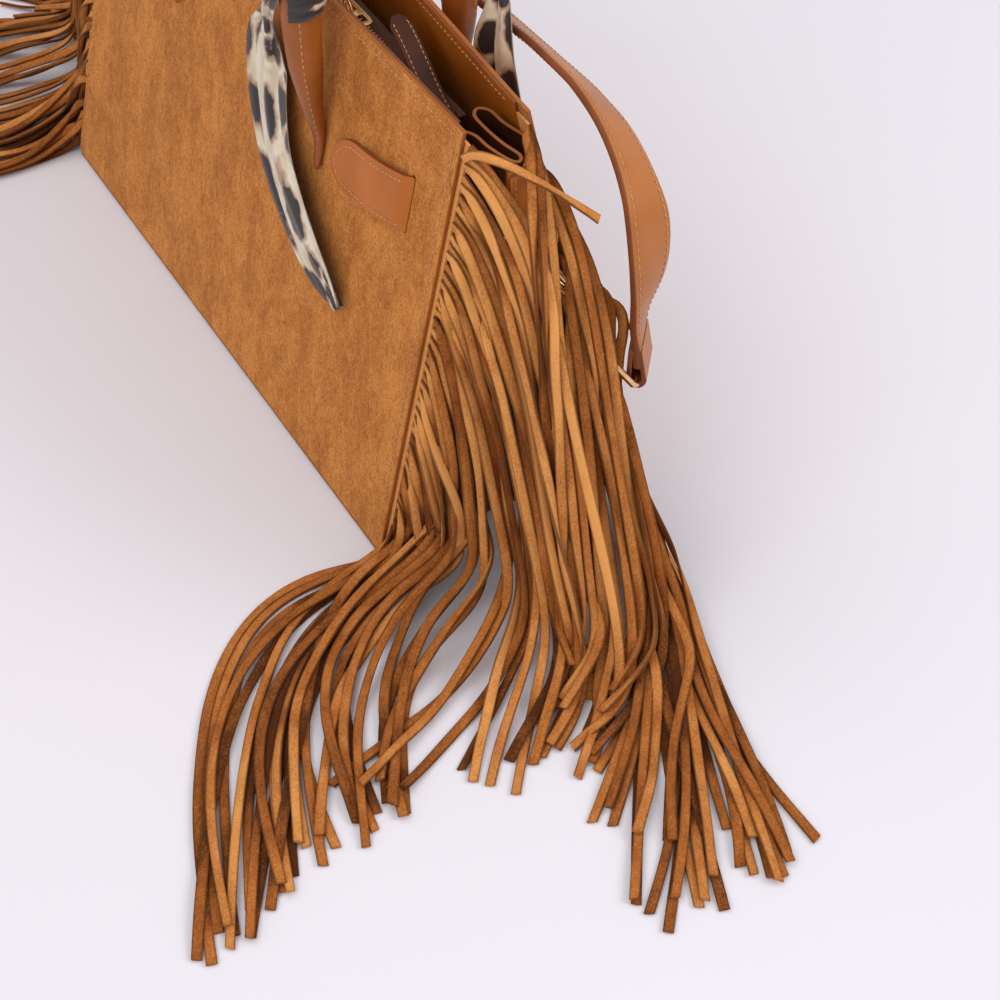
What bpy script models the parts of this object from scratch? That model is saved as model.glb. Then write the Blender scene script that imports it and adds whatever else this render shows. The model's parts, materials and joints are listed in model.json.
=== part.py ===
"""Fringed suede tote with two rolled handles, a zipped centre pocket, a shoulder strap on snap hooks and two silk scarves.

Metres, +Z up. Origin: centre of the underside of the base. The front panel faces -Y.
"""

import math

import bpy
import numpy as np

MM = 0.001

# Body of the bag
HALF_W = 175.0 * MM        # half the width of the panels
HEIGHT = 227.0 * MM        # height of the panels
BASE_HALF_D = 63.5 * MM    # half the depth at the base
MOUTH_HALF_D = 16.0 * MM   # half the depth at the mouth's corners
SUEDE = 2.0 * MM           # thickness of the panels
FACING = 1.2 * MM          # thickness of the leather facing inside
BOW = 4.0 * MM             # how far the panels swell outwards at the middle of the top
BASE_T = 3.0 * MM
SEWN = 0.3 * MM            # gap between pieces that lie against each other
GUSSET_T = 1.8 * MM
GUSSET_TOP = 214.0 * MM
GUSSET_SET = 4.8 * MM      # gusset's edge, in from the panel's outer face

# Fringe: one cut piece in each side seam
STRIPS = 18
STRIP_W = 6.4 * MM
STRIP_T = 1.2 * MM
STRIP_L = 272.0 * MM
HEADER_IN = 8.0 * MM       # how far the uncut edge reaches into the seam
HEADER_OUT = 2.2 * MM
HEADER_LOW = 7.0 * MM
HEADER_HIGH = 223.0 * MM
RINGS = 8                  # sections along each strip

# Handles
HANDLE_X = HALF_W - 101.0 * MM
HANDLE_Y = 38.5 * MM
HANDLE_TIP_Z = 149.0 * MM
HANDLE_LEG = 86.0 * MM      # from the tongue's tip to where the arch begins
HANDLE_TOP = 330.0 * MM
HANDLE_R = 9.0 * MM

# Straps through the slits in the front
SLIT_X = HALF_W - 28.0 * MM
SLIT_Z = 175.0 * MM
SLIT_LONG = 29.0 * MM
SLIT_WIDE = 3.4 * MM
STRAP_TAB_L = 63.0 * MM
STRAP_TAB_T = 2.2 * MM
STRAP_TAB_DROOP = 11.0

# Centre pocket and its zip
POCKET_HALF_L = HALF_W - 43.0 * MM
POCKET_TOP_D = 9.0 * MM
POCKET_LOW_D = 5.0 * MM
POCKET_WALL = 1.2 * MM
POCKET_TOP = 198.0 * MM
TAPE_T = 1.0 * MM
TEETH_HALF_L = POCKET_HALF_L - 8.0 * MM
TOOTH_PITCH = 10.0 * MM
SLIDER_X = 38.0 * MM

# Ring, snap hook and shoulder strap
TAB_W = 16.0 * MM
TAB_T = 2.0 * MM
RING_WIRE = 1.7 * MM
RING_HALF_W = 11.0 * MM
RING_DROP = 20.0 * MM
RING_TILT = 30.0
BAR_Z = 186.0 * MM
BAR_CLEAR = 0.4 * MM
EYE_AT = (229.0 * MM, 40.0 * MM, 118.0 * MM)
STRAP_W = 25.0 * MM
STRAP_T = 3.6 * MM
HOOK_WIRE = 2.0 * MM
CLAW_HALF_W = 7.5 * MM
CLAW_LONG = 27.0 * MM
GATE_PIN = 4.4 * MM        # the gate's pivot, below the barrel's shoulder

SCARF_T = 1.6 * MM
SCARF_LOW = HANDLE_TIP_Z + 80.0 * MM    # the wound part, on the handle's leg
SCARF_HIGH = HANDLE_TIP_Z + 132.0 * MM

COLOURS = {
    "suede": ((0.48, 0.18, 0.045), 0.95, 0.0),
    "fringe": ((0.50, 0.21, 0.055), 0.95, 0.0),
    "leather": ((0.45, 0.17, 0.05), 0.5, 0.0),
    "dark": ((0.10, 0.035, 0.018), 0.55, 0.0),
    "gold": ((0.85, 0.62, 0.28), 0.25, 1.0),
    "silk": ((0.80, 0.70, 0.55), 0.55, 0.0),
}


def material(kind):
    found = bpy.data.materials.get(kind)
    if found:
        return found
    made = bpy.data.materials.new(kind)
    made.use_nodes = True
    shader = made.node_tree.nodes["Principled BSDF"]
    colour, rough, metal = COLOURS[kind]
    shader.inputs["Base Color"].default_value = (*colour, 1)
    shader.inputs["Roughness"].default_value = rough
    shader.inputs["Metallic"].default_value = metal
    return made


def volume(points, faces):
    total = 0.0
    for face in faces:
        a = points[face[0]]
        for i in range(1, len(face) - 1):
            total += np.dot(a, np.cross(points[face[i]], points[face[i + 1]]))
    return total


def add(name, points, faces, kind, origin=(0, 0, 0), parent=None, smooth=True, sharp=40):
    """A mesh object with its faces turned outwards and its origin on the given point."""
    points = np.asarray(points, float)
    if volume(points, faces) < 0:
        faces = [tuple(reversed(face)) for face in faces]
    origin = np.asarray(origin, float)
    mesh = bpy.data.meshes.new(name)
    mesh.from_pydata([tuple(p) for p in points - origin], [], [tuple(int(i) for i in f) for f in faces])
    mesh.update()
    if smooth:
        mesh.shade_smooth()
        mesh.set_sharp_from_angle(angle=math.radians(sharp))
    mesh.materials.append(material(kind))
    obj = bpy.data.objects.new(name, mesh)
    bpy.context.scene.collection.objects.link(obj)
    obj.location = tuple(origin)
    if parent:
        obj.parent = parent
        obj.location = tuple(origin - np.array(parent.location))
    return obj


def unit(v):
    v = np.asarray(v, float)
    return v / np.linalg.norm(v)


def loft(sections, ring=False):
    """Points and faces through sections of equal count: capped at both ends, or closed into a ring."""
    sections = np.asarray(sections, float)
    count, sides, _ = sections.shape
    points = sections.reshape(-1, 3)
    faces = []
    for i in range(count if ring else count - 1):
        n = (i + 1) % count
        for j in range(sides):
            k = (j + 1) % sides
            faces.append((i * sides + j, i * sides + k, n * sides + k, n * sides + j))
    if not ring:
        faces.append(tuple(range(sides))[::-1])
        faces.append(tuple((count - 1) * sides + j for j in range(sides)))
    return points, faces


def slab(outer, inner):
    """A closed sheet between two grids of points."""
    outer, inner = np.asarray(outer, float), np.asarray(inner, float)
    rows, cols, _ = outer.shape
    points = np.concatenate([outer.reshape(-1, 3), inner.reshape(-1, 3)])
    back = rows * cols
    faces = []
    for i in range(rows - 1):
        for j in range(cols - 1):
            a, b, c, d = i * cols + j, i * cols + j + 1, (i + 1) * cols + j + 1, (i + 1) * cols + j
            faces.append((a, b, c, d))
            faces.append((back + d, back + c, back + b, back + a))
    edge = [j for j in range(cols)] + [i * cols + cols - 1 for i in range(1, rows)]
    edge += [(rows - 1) * cols + j for j in range(cols - 2, -1, -1)] + [i * cols for i in range(rows - 2, 0, -1)]
    for a, b in zip(edge, edge[1:] + edge[:1]):
        faces.append((b, a, back + a, back + b))
    return points, faces


def smooth_curve(points, count, closed=False):
    """A curve of evenly spaced points through the given ones."""
    points = np.asarray(points, float)
    if closed:
        padded = np.concatenate([points[-1:], points, points[:2]])
    else:
        padded = np.concatenate([[2 * points[0] - points[1]], points, [2 * points[-1] - points[-2]]])
    fine = []
    for i in range(1, len(padded) - 2):
        p0, p1, p2, p3 = padded[i - 1 : i + 3]
        for t in np.linspace(0, 1, 16, endpoint=False):
            fine.append(0.5 * (2 * p1 + (p2 - p0) * t + (2 * p0 - 5 * p1 + 4 * p2 - p3) * t**2 + (3 * p1 - p0 - 3 * p2 + p3) * t**3))
    fine.append(padded[-2])
    return spaced(np.array(fine), count)


def spaced(line, count, end=None):
    """The line again, as evenly spaced points, cut at the given length."""
    steps = np.linalg.norm(np.diff(line, axis=0), axis=1)
    along = np.concatenate([[0], np.cumsum(steps)])
    want = np.linspace(0, along[-1] if end is None else min(end, along[-1]), count)
    return np.stack([np.interp(want, along, line[:, k]) for k in range(line.shape[1])], axis=1)


def directions(line, closed=False):
    if closed:
        step = np.roll(line, -1, axis=0) - np.roll(line, 1, axis=0)
    else:
        step = np.gradient(line, axis=0)
    return step / np.linalg.norm(step, axis=1)[:, None]


def tube(line, radius, sides=8, closed=False, side=(0, 1, 0)):
    """A round or oval tube along the line; radius is one value, or one (across, through) pair for each point."""
    line = np.asarray(line, float)
    radius = np.broadcast_to(np.asarray(radius, float).reshape(-1, 1) if np.ndim(radius) < 2 else radius, (len(line), 2))
    tangents = directions(line, closed)
    sections = []
    across = np.asarray(side, float)
    for point, tangent, (ra, rb) in zip(line, tangents, radius):
        across = unit(across - np.dot(across, tangent) * tangent)
        up = np.cross(tangent, across)
        turn = np.arange(sides) * 2 * math.pi / sides + math.pi / sides
        sections.append(point + np.outer(np.cos(turn) * rb, across) + np.outer(np.sin(turn) * ra, up))
    return loft(sections, ring=closed)


def turned(profile, start, axis, sides=12):
    """A solid of revolution from (distance along, radius) pairs."""
    axis = unit(axis)
    across = unit(np.cross(axis, (0.3, 0.9, 0.2)))
    up = np.cross(axis, across)
    turn = np.arange(sides) * 2 * math.pi / sides
    sections = [np.asarray(start) + axis * s + r * (np.outer(np.cos(turn), across) + np.outer(np.sin(turn), up)) for s, r in profile]
    return loft(sections)


def combine(obj, other, operation):
    """A Boolean that stays on the object, with its second shape kept out of the model."""
    other.hide_render = True
    other.display_type = "WIRE"
    change = obj.modifiers.new(other.name, "BOOLEAN")
    change.operation = operation
    change.object = other
    change.solver = "EXACT"
    return obj


def mirrored(points, faces, side):
    points = np.array(points, float)
    if side < 0:
        points[:, 0] *= -1
    return points, faces


SIDES = (("right", 1), ("left", -1))


def bow(x, z):
    """How far the panel swells outwards from the flat."""
    span = np.clip(1 - (np.asarray(x) / HALF_W) ** 2, 0, 1)
    rise = np.clip(np.asarray(z) / HEIGHT, 0, 1)
    return BOW * span**1.5 * (0.35 * np.sin(math.pi * rise) + rise)


def wall_y(x, z, inwards=0.0):
    """Distance of a panel's outer face from the middle plane of the bag, less the given depth."""
    lean = BASE_HALF_D + (MOUTH_HALF_D - BASE_HALF_D) * np.asarray(z) / HEIGHT
    return lean + bow(x, z) - inwards


def wall(name, kind, front, half_w, low, high, inwards, thick):
    """A panel or facing as a bowed sheet that leans in towards the mouth."""
    xs = np.linspace(-half_w, half_w, 15 if kind == "suede" else 11)
    zs = np.linspace(low, high, 6 if kind == "suede" else 5)
    grids = []
    for depth in (inwards, inwards + thick):
        grid = [[(x, front * wall_y(x, z, depth), z) for x in xs] for z in zs]
        grids.append(grid)
    points, faces = slab(*grids)
    return add(name, points, faces, kind, sharp=50)


def make_body():
    low = BASE_T + SEWN
    front = wall("front_panel", "suede", -1, HALF_W, low, HEIGHT, 0.0, SUEDE)
    wall("back_panel", "suede", 1, HALF_W, low, HEIGHT, 0.0, SUEDE)
    inner = HALF_W - HEADER_IN - SEWN
    wall("front_facing", "leather", -1, inner, low, HEIGHT - 0.5 * MM, SUEDE + SEWN, FACING)
    wall("back_facing", "leather", 1, inner, low, HEIGHT - 0.5 * MM, SUEDE + SEWN, FACING)
    corner = 3.0 * MM
    outline = []
    for sx, sy, start in ((1, 1, 0), (-1, 1, 90), (-1, -1, 180), (1, -1, 270)):
        for turn in np.radians(np.linspace(start, start + 90, 4)):
            outline.append((sx * (HALF_W - 1 * MM - corner) + corner * math.cos(turn), sy * (BASE_HALF_D - 1 * MM - corner) + corner * math.sin(turn)))
    rings = []
    for z, shrink in ((0, 0.985), (0.8 * MM, 1.0), (BASE_T, 1.0)):
        rings.append([(x * shrink, y * shrink, z) for x, y in outline])
    add("base_panel", *loft(rings), "suede", smooth=False)
    for side, sign in SIDES:
        cutter = slit_cutter(side, sign)
        combine(front, cutter, "DIFFERENCE")
        make_gusset(side, sign)


def slit_cutter(side, sign):
    """The upright slot that a strap end comes out of: it goes through the suede only."""
    points = []
    y = wall_y(SLIT_X, SLIT_Z)
    slope = (MOUTH_HALF_D - BASE_HALF_D) / HEIGHT
    for dz in (-SLIT_LONG / 2, SLIT_LONG / 2):
        for dx in (-SLIT_WIDE / 2, SLIT_WIDE / 2):
            for deep in (-3 * MM, SUEDE + SEWN / 2):
                points.append((sign * (SLIT_X + dx), -(y + slope * dz - deep), SLIT_Z + dz))
    faces = [(0, 1, 3, 2), (4, 6, 7, 5), (0, 4, 5, 1), (2, 3, 7, 6), (0, 2, 6, 4), (1, 5, 7, 3)]
    return add(f"slit_{side}", points, faces, "leather", smooth=False)


GUSSET_FOLDS = (
    (-1.0, 11.2), (-14.0, 8.6), (-24.0, 8.3), (-28.2, 4.6), (-24.0, 0.9), (-13.0, 1.4), (-1.0, 3.4), (9.5, 6.4),
    (13.2, 3.8), (9.5, 0.9), (-2.0, -1.6), (-12.0, -2.2), (-17.2, -5.8), (-12.5, -9.2), (-6.0, -9.8), (-1.0, -11.2),
)


def gusset_line(z, count=23):
    """Plan of the gusset at height z, from the back seam to the front one. Flat at the base, folded into an M at the mouth."""
    top = np.array(GUSSET_FOLDS) * MM
    reach = np.concatenate([[0], np.cumsum(np.linalg.norm(np.diff(top, axis=0), axis=1))])
    flat = (0.5 - reach / reach[-1]) * 2 * (BASE_HALF_D - GUSSET_SET)
    rise = z / HEIGHT
    now = BASE_HALF_D - GUSSET_SET + (MOUTH_HALF_D - BASE_HALF_D) * rise
    fold = math.sqrt(max(0.0, 1 - (now / (BASE_HALF_D - GUSSET_SET)) ** 2))
    x = HALF_W - GUSSET_T / 2 + (top[:, 0] + 1 * MM) * fold
    y = flat + (top[:, 1] * (MOUTH_HALF_D - GUSSET_SET) / (11.2 * MM) - flat) * rise
    return smooth_curve(np.stack([x, y], axis=1), count)


def make_gusset(side, sign):
    outer, inner = [], []
    for z in np.array((0.0, 0.03, 0.1, 0.25, 0.5, 1.0)) * (GUSSET_TOP - BASE_T - SEWN) + BASE_T + SEWN:
        line = gusset_line(z)
        tangent = directions(line)
        normal = np.stack([-tangent[:, 1], tangent[:, 0]], axis=1) * GUSSET_T / 2
        outer.append([(x, y, z) for x, y in line + normal])
        inner.append([(x, y, z) for x, y in line - normal])
    add(f"gusset_{side}", *mirrored(*slab(outer, inner), sign), "dark", sharp=60)


# Each bundle: the way its strips point on the floor, in degrees from +X, lowest strip first, and how far they stand off the seam.
BUNDLES = {
    "front": {"fan": (-50.0, -19.0), "curl": -26.0, "stand": (7.0, 44.0)},
    "back": {"fan": (-9.0, -36.0), "curl": 0.0, "stand": (7.0, 24.0)},
}
OVER_HOOK = 4              # top strips of the back bundle that fall outside the hook
OVER_STAND = 68.0 * MM


def strip_line(bundle, i):
    """Centre line of a strip in the right side's coordinates, and its turn from on edge to flat along the way."""
    front = -1 if bundle == "front" else 1
    share = i / (STRIPS - 1)
    pitch = (HEADER_HIGH - HEADER_LOW) / STRIPS
    z = HEADER_LOW + pitch * (i + 0.5)
    y = front * (wall_y(HALF_W, z, SUEDE + SEWN + STRIP_T / 2))
    low, high = BUNDLES[bundle]["stand"]
    stand = (low + (high - low) * share) * MM
    fall = 0.75
    if bundle == "back" and i >= STRIPS - OVER_HOOK:
        stand = OVER_STAND + 1.5 * MM * (i - STRIPS + OVER_HOOK)
        fall = 0.36
    root = HALF_W + HEADER_OUT
    edge = STRIP_W / 2 + 1.0 * MM
    drop = min(fall * stand + 8 * MM, z - edge)
    points = [(root, y, z), (root + 0.45 * stand, y, z - 0.1 * drop), (root + 0.85 * stand, y, z - 0.42 * drop), (root + stand, y, z - drop)]
    if z - drop > 60 * MM:
        points.append((root + stand + 2 * MM, y, 0.5 * (z - drop) + 12 * MM))
    if z - drop > 22 * MM:
        points.append((root + stand + 2 * MM, y, 20 * MM))
    heading0, heading1 = BUNDLES[bundle]["fan"]
    heading = heading0 + (heading1 - heading0) * share
    x = root + stand + 5 * MM
    if z - drop > edge + 3 * MM:
        points.append((x, y, edge + 2.5 * MM))
    plan = np.array([x + 3 * MM, y])
    step = 6 * MM
    travelled = 0.0
    while travelled < STRIP_L:
        ease = min(1.0, travelled / (45 * MM))
        swing = BUNDLES[bundle]["curl"] * math.exp(-((travelled - 40 * MM) / (38 * MM)) ** 2) * (1 - share) ** 1.0
        turn = math.radians((heading + swing) * ease)
        plan = plan + step * np.array([math.cos(turn), math.sin(turn)])
        travelled += step
        apart = 2.1 * MM + abs(math.radians(heading1 - heading0)) / (STRIPS - 1) * travelled
        lean = math.asin(min(1.0, 1.75 * MM / apart))
        height = 0.9 * MM + (STRIP_W / 2) * math.sin(lean) + 0.3 * MM
        points.append((plan[0], plan[1], max(height, edge - travelled * 0.02)))
    return smooth_curve(points, 400), (root + stand + 8 * MM)


def strip_sections(bundle, i):
    line, floor_x = strip_line(bundle, i)
    length = STRIP_L * (1 + 0.03 * math.sin(2.4 * i + (1.3 if bundle == "front" else 0.2)))
    steps = np.linalg.norm(np.diff(line, axis=0), axis=1)
    along = np.concatenate([[0], np.cumsum(steps)])
    landed = along[np.argmax(line[:, 2] < STRIP_W / 2 + 3 * MM)]
    share = np.linspace(0, 1, RINGS)
    bends = np.interp(share, (0, 0.36, 0.62, 1), (0, min(landed * 0.75, 0.3 * length), min(landed + 24 * MM, 0.8 * length), length))
    fine = np.stack([np.interp(bends, along, line[:, k]) for k in range(3)], axis=1)
    ahead = np.stack([np.interp(np.minimum(bends + 2 * MM, along[-1]), along, line[:, k]) for k in range(3)], axis=1)
    behind = np.stack([np.interp(np.maximum(bends - 2 * MM, 0), along, line[:, k]) for k in range(3)], axis=1)
    spread = abs(math.radians(BUNDLES[bundle]["fan"][1] - BUNDLES[bundle]["fan"][0])) / (STRIPS - 1)
    sections = []
    for k in range(1, RINGS):
        tangent = unit(ahead[k] - behind[k])
        flat = np.array([-tangent[1], tangent[0], 0.0])
        flat = unit(flat) if np.linalg.norm(flat) > 0.2 else np.array([0.0, 1.0, 0.0])
        upright = unit(np.cross(flat, tangent)) if np.linalg.norm(np.cross(flat, tangent)) > 0 else np.array([0, 0, 1.0])
        on_floor = max(0.0, bends[k] - landed)
        lean = math.asin(min(1.0, 1.75 * MM / (2.1 * MM + spread * on_floor)))
        if on_floor <= 0:
            lean = math.pi / 2
        wide = math.sin(lean) * upright + math.cos(lean) * flat
        thick = np.cross(tangent, wide)
        w, t = wide * STRIP_W / 2, thick * STRIP_T / 2
        sections.append([fine[k] - w - t, fine[k] + w - t, fine[k] + w + t, fine[k] - w + t])
    return sections


def make_fringe(bundle, side, sign):
    """The uncut edge runs up the seam, and each strip grows out of its outer face."""
    front = -1 if bundle == "front" else 1
    pitch = (HEADER_HIGH - HEADER_LOW) / STRIPS
    levels = []
    for i in range(STRIPS):
        middle = HEADER_LOW + pitch * (i + 0.5)
        levels += [middle - STRIP_W / 2, middle + STRIP_W / 2]
    levels[0], levels[-1] = max(levels[0], BASE_T + 1 * MM), levels[-1]
    points, faces = [], []
    near, far = SUEDE + SEWN, SUEDE + SEWN + STRIP_T
    for z in levels:
        a, b = front * wall_y(HALF_W, z, near), front * wall_y(HALF_W, z, far)
        points += [(HALF_W - HEADER_IN, a, z), (HALF_W - HEADER_IN, b, z), (HALF_W + HEADER_OUT, b, z), (HALF_W + HEADER_OUT, a, z)]
    for i in range(len(levels) - 1):
        a, b = 4 * i, 4 * (i + 1)
        for j in range(4):
            k = (j + 1) % 4
            if j == 2 and i % 2 == 0:
                continue
            faces.append((a + j, a + k, b + k, b + j))
    last = 4 * (len(levels) - 1)
    faces += [(3, 2, 1, 0), (last, last + 1, last + 2, last + 3)]
    for i in range(STRIPS):
        low, high = 8 * i, 8 * i + 4
        order = [low + 3, high + 3, high + 2, low + 2]
        sections = strip_sections(bundle, i)
        ring = order
        for section in sections:
            section = np.array(section)
            here = np.array([points[n] for n in ring]) if ring is order else None
            if here is not None:
                # Line the first ring up with the root's corners, so that the strip doesn't start twisted.
                best = min(
                    ([*np.roll(np.arange(4), s)] for s in range(4)),
                    key=lambda o: float(np.sum((section[o] - here) ** 2)),
                )
                back = min(
                    ([*np.roll(np.arange(4)[::-1], s)] for s in range(4)),
                    key=lambda o: float(np.sum((section[o] - here) ** 2)),
                )
                use = best if np.sum((section[best] - here) ** 2) <= np.sum((section[back] - here) ** 2) else back
            start = len(points)
            points += [tuple(p) for p in section[use]]
            now = [start, start + 1, start + 2, start + 3]
            middle = np.mean([points[n] for n in ring + now], axis=0)
            for j in range(4):
                k = (j + 1) % 4
                # Of a twisted quad's two diagonals, the one further out keeps the strip's full thickness.
                one, other = (np.linalg.norm(np.add(points[a], points[b]) / 2 - middle) for a, b in ((ring[j], now[k]), (now[j], ring[k])))
                if one > other:
                    faces += [(ring[j], ring[k], now[k]), (ring[j], now[k], now[j])]
                else:
                    faces += [(ring[j], ring[k], now[j]), (ring[k], now[k], now[j])]
            ring = now
        faces.append(tuple(ring))
    points, faces = mirrored(points, faces, sign)
    obj = add(f"fringe_{bundle}_{side}", points, faces, "fringe", smooth=False)
    fix_facing(obj)


def fix_facing(obj):
    """Turns every face of a closed mesh outwards."""
    import bmesh

    shape = bmesh.new()
    shape.from_mesh(obj.data)
    bmesh.ops.recalc_face_normals(shape, faces=shape.faces)
    shape.to_mesh(obj.data)
    shape.free()


def make_strap_tab(side, sign):
    """A stitched strap end that comes out of the slit, turns flat and hangs a little towards the middle."""
    droop = math.radians(STRAP_TAB_DROOP)
    wide = SLIT_LONG - 2 * MM
    outer, inner = [], []
    stations = [(-1, 0.0), (0, 0.0)] + [(1, s) for s in (0.06, 0.2, 0.4, 0.6, 0.75, 0.86, 0.94, 1.0)]
    for kind, s in stations:
        along = s * STRAP_TAB_L
        half = wide / 2 * (1 - 0.10 * s)
        if s > 0.72:
            half *= math.sqrt(max(0.06, 1 - ((s - 0.72) / 0.28) ** 2))
        rows_o, rows_i = [], []
        for v in (-1, -0.5, 0, 0.5, 1):
            z = SLIT_Z - along * math.sin(droop) + v * half
            x = SLIT_X - along * math.cos(droop)
            lift = 1.6 * MM * math.sin(math.pi * min(1, s * 1.4)) + 0.5 * MM
            if kind == 1:
                y = wall_y(x, z) + lift
                rows_i.append((x, -y, z))
                rows_o.append((x, -(y + STRAP_TAB_T), z))
            else:
                edge = STRAP_TAB_T / 2
                y = wall_y(SLIT_X, z) + (0.9 * MM if kind == 0 else -(SUEDE - 0.1 * MM))
                extra = 0.8 * MM if kind == 0 else 0.0
                rows_i.append((SLIT_X - edge, -y, z))
                rows_o.append((SLIT_X + edge, -(y + extra), z))
        outer.append(rows_o)
        inner.append(rows_i)
    add(f"front_strap_{side}", *mirrored(*slab(outer, inner), sign), "leather", sharp=60)


def handle_line():
    """Right half of the front handle, from the tip of its tongue to the top of the arch, with its two radii."""
    z_tip = HANDLE_TIP_Z
    lean = wall_y(HANDLE_X, z_tip) + 0.5 * MM
    points = [
        (HANDLE_X + 1 * MM, -(lean + 1.5 * MM), z_tip),
        (HANDLE_X + 0.5 * MM, -(wall_y(HANDLE_X, z_tip + 16 * MM) + 2.6 * MM), z_tip + 16 * MM),
        (HANDLE_X, -(HANDLE_Y - 1.5 * MM), z_tip + 38 * MM),
        (HANDLE_X - 1 * MM, -HANDLE_Y, z_tip + 62 * MM),
        (HANDLE_X - 2 * MM, -HANDLE_Y, z_tip + HANDLE_LEG),
    ]
    low = z_tip + HANDLE_LEG
    for turn in np.radians((12, 28, 44, 60, 75, 90)):
        points.append(((HANDLE_X - 2 * MM) * math.cos(turn) ** 0.8 if turn < 1.57 else 0.0, -HANDLE_Y, low + (HANDLE_TOP - HANDLE_R - low) * math.sin(turn)))
    return np.array(points)


def make_handle(name, front):
    half = handle_line()
    whole = np.concatenate([half, (half * (-1, 1, 1))[::-1][1:]])
    line = smooth_curve(whole, 53)
    reach = np.minimum(np.arange(53), 52 - np.arange(53)) / 52 * np.linalg.norm(np.diff(smooth_curve(whole, 400), axis=0), axis=1).sum()
    across = np.interp(reach, np.array((0, 14, 34, 56, 80)) * MM, np.array((2.0, 3.6, 5.6, 8.4, 9.0)) * MM)
    through = np.interp(reach, np.array((0, 14, 34, 56, 80)) * MM, np.array((1.4, 2.0, 4.6, 7.6, 9.0)) * MM)
    line = line[::2]
    points, faces = tube(line, np.stack([across, through], axis=1)[::2] * (HANDLE_R / (9 * MM)), sides=8)
    if front < 0:
        points = points.copy()
        points[:, 1] *= -1
        faces = [tuple(reversed(f)) for f in faces]
    add(name, points, faces, "leather", sharp=60)


# Middle of each scarf's loose end (x, distance from the middle plane, z) and its width there, in mm.
SCARF_TAILS = {
    "front": (((70, 49.2, 247), 11), ((60, 48, 236), 14), ((46, 43, 221), 16), ((34, 37, 206), 12), ((28, 35, 194), 26), ((26, 36, 180), 40), ((32, 39.5, 160), 43), ((45, 43.5, 141), 42), ((65, 46.5, 125), 36), ((87, 49.4, 112.5), 26), ((104, 51, 104.5), 14), ((114, 52, 100), 6)),
    "back": (((74, 49.2, 246), 10), ((88, 49, 236), 14), ((98, 43, 224), 24), ((104, 37, 208), 34), ((106, 38, 186), 42), ((98, 46, 162), 46), ((92, 51, 138), 42), ((84, 56, 116), 30), ((78, 60, 100), 10)),
}


def make_scarf(name, front):
    """A folded silk band wound round the handle's right leg, with one loose end down the panel."""
    line = smooth_curve(np.concatenate([handle_line(), (handle_line() * (-1, 1, 1))[::-1][1:]]), 600)
    half = line[: len(line) // 2]
    part = half[(half[:, 2] > SCARF_LOW) & (half[:, 2] < SCARF_HIGH)]
    part = spaced(part, 7)
    inside = HANDLE_R / math.cos(math.pi / 12) + 0.5 * MM
    outside = inside + 2.6 * MM
    inner, _ = tube(part, inside, 12)
    outer, _ = tube(part, np.array([outside + (0.5 * MM if k % 2 else -0.3 * MM) for k in range(7)]), 12)
    inner, outer = inner.reshape(7, 12, 3), outer.reshape(7, 12, 3)
    points, faces = loft(np.concatenate([outer, inner[::-1]]), ring=True)
    rows_a, rows_b = [], []
    tail = SCARF_TAILS["front" if front > 0 else "back"]
    centre = np.array([p for p, _ in tail], float) * MM
    for k, (point, wide) in enumerate(tail):
        ahead = unit(centre[min(k + 1, len(tail) - 1)] - centre[max(k - 1, 0)])
        across = unit(np.cross(ahead, (0, 1, 0))) * wide * MM / 2
        row_a, row_b = [], []
        for v in (-1, -0.5, 0, 0.5, 1):
            p = centre[k] + across * v
            depth = max(p[1], wall_y(p[0], min(p[2], HEIGHT)) + 1.2 * MM) + (1.4 * MM if v == 0 else 0)
            row_a.append((p[0], -depth, p[2]))
            row_b.append((p[0], -(depth + SCARF_T), p[2]))
        rows_a.append(row_a)
        rows_b.append(row_b)
    tail_points, tail_faces = slab(rows_a, rows_b)
    if front < 0:
        points, tail_points = points * (1, -1, 1), tail_points * (1, -1, 1)
    obj = add(name, points, faces, "silk")
    fix_facing(obj)
    other = add(f"{name}_tail", tail_points, tail_faces, "silk")
    fix_facing(other)
    combine(obj, other, "UNION")


def make_pocket():
    """Pouch between the two compartments, sewn along the bottom and open at the top under its zip."""
    sections = []
    low = BASE_T + SEWN
    for z, deep, inset in ((low, POCKET_LOW_D, 0), (POCKET_TOP, POCKET_TOP_D, 0), (POCKET_TOP, POCKET_TOP_D - POCKET_WALL, POCKET_WALL), (low + 4 * MM, POCKET_LOW_D - POCKET_WALL, POCKET_WALL)):
        x = POCKET_HALF_L - inset
        sections.append([(x, -deep, z), (x, deep, z), (-x, deep, z), (-x, -deep, z)])
    add("centre_pocket", *loft(sections), "dark", smooth=False)
    top = POCKET_TOP + SEWN
    for name, sign in (("front", -1), ("back", 1)):
        tape = box((-POCKET_HALF_L, sign * 1.9 * MM, top), (POCKET_HALF_L, sign * POCKET_TOP_D, top + TAPE_T))
        add(f"zip_tape_{name}", *tape, "dark", smooth=False)
        teeth = add(f"zip_teeth_{name}", *comb(sign, top), "gold", smooth=False)
        fix_facing(teeth)
    make_slider(top + TAPE_T)
    make_zip_end(top + TAPE_T)


def box(a, b):
    (x0, y0, z0), (x1, y1, z1) = np.minimum(a, b), np.maximum(a, b)
    points = [(x, y, z) for z in (z0, z1) for x, y in ((x0, y0), (x1, y0), (x1, y1), (x0, y1))]
    faces = [(3, 2, 1, 0), (4, 5, 6, 7), (0, 1, 5, 4), (1, 2, 6, 5), (2, 3, 7, 6), (3, 0, 4, 7)]
    return np.array(points), faces


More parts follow.
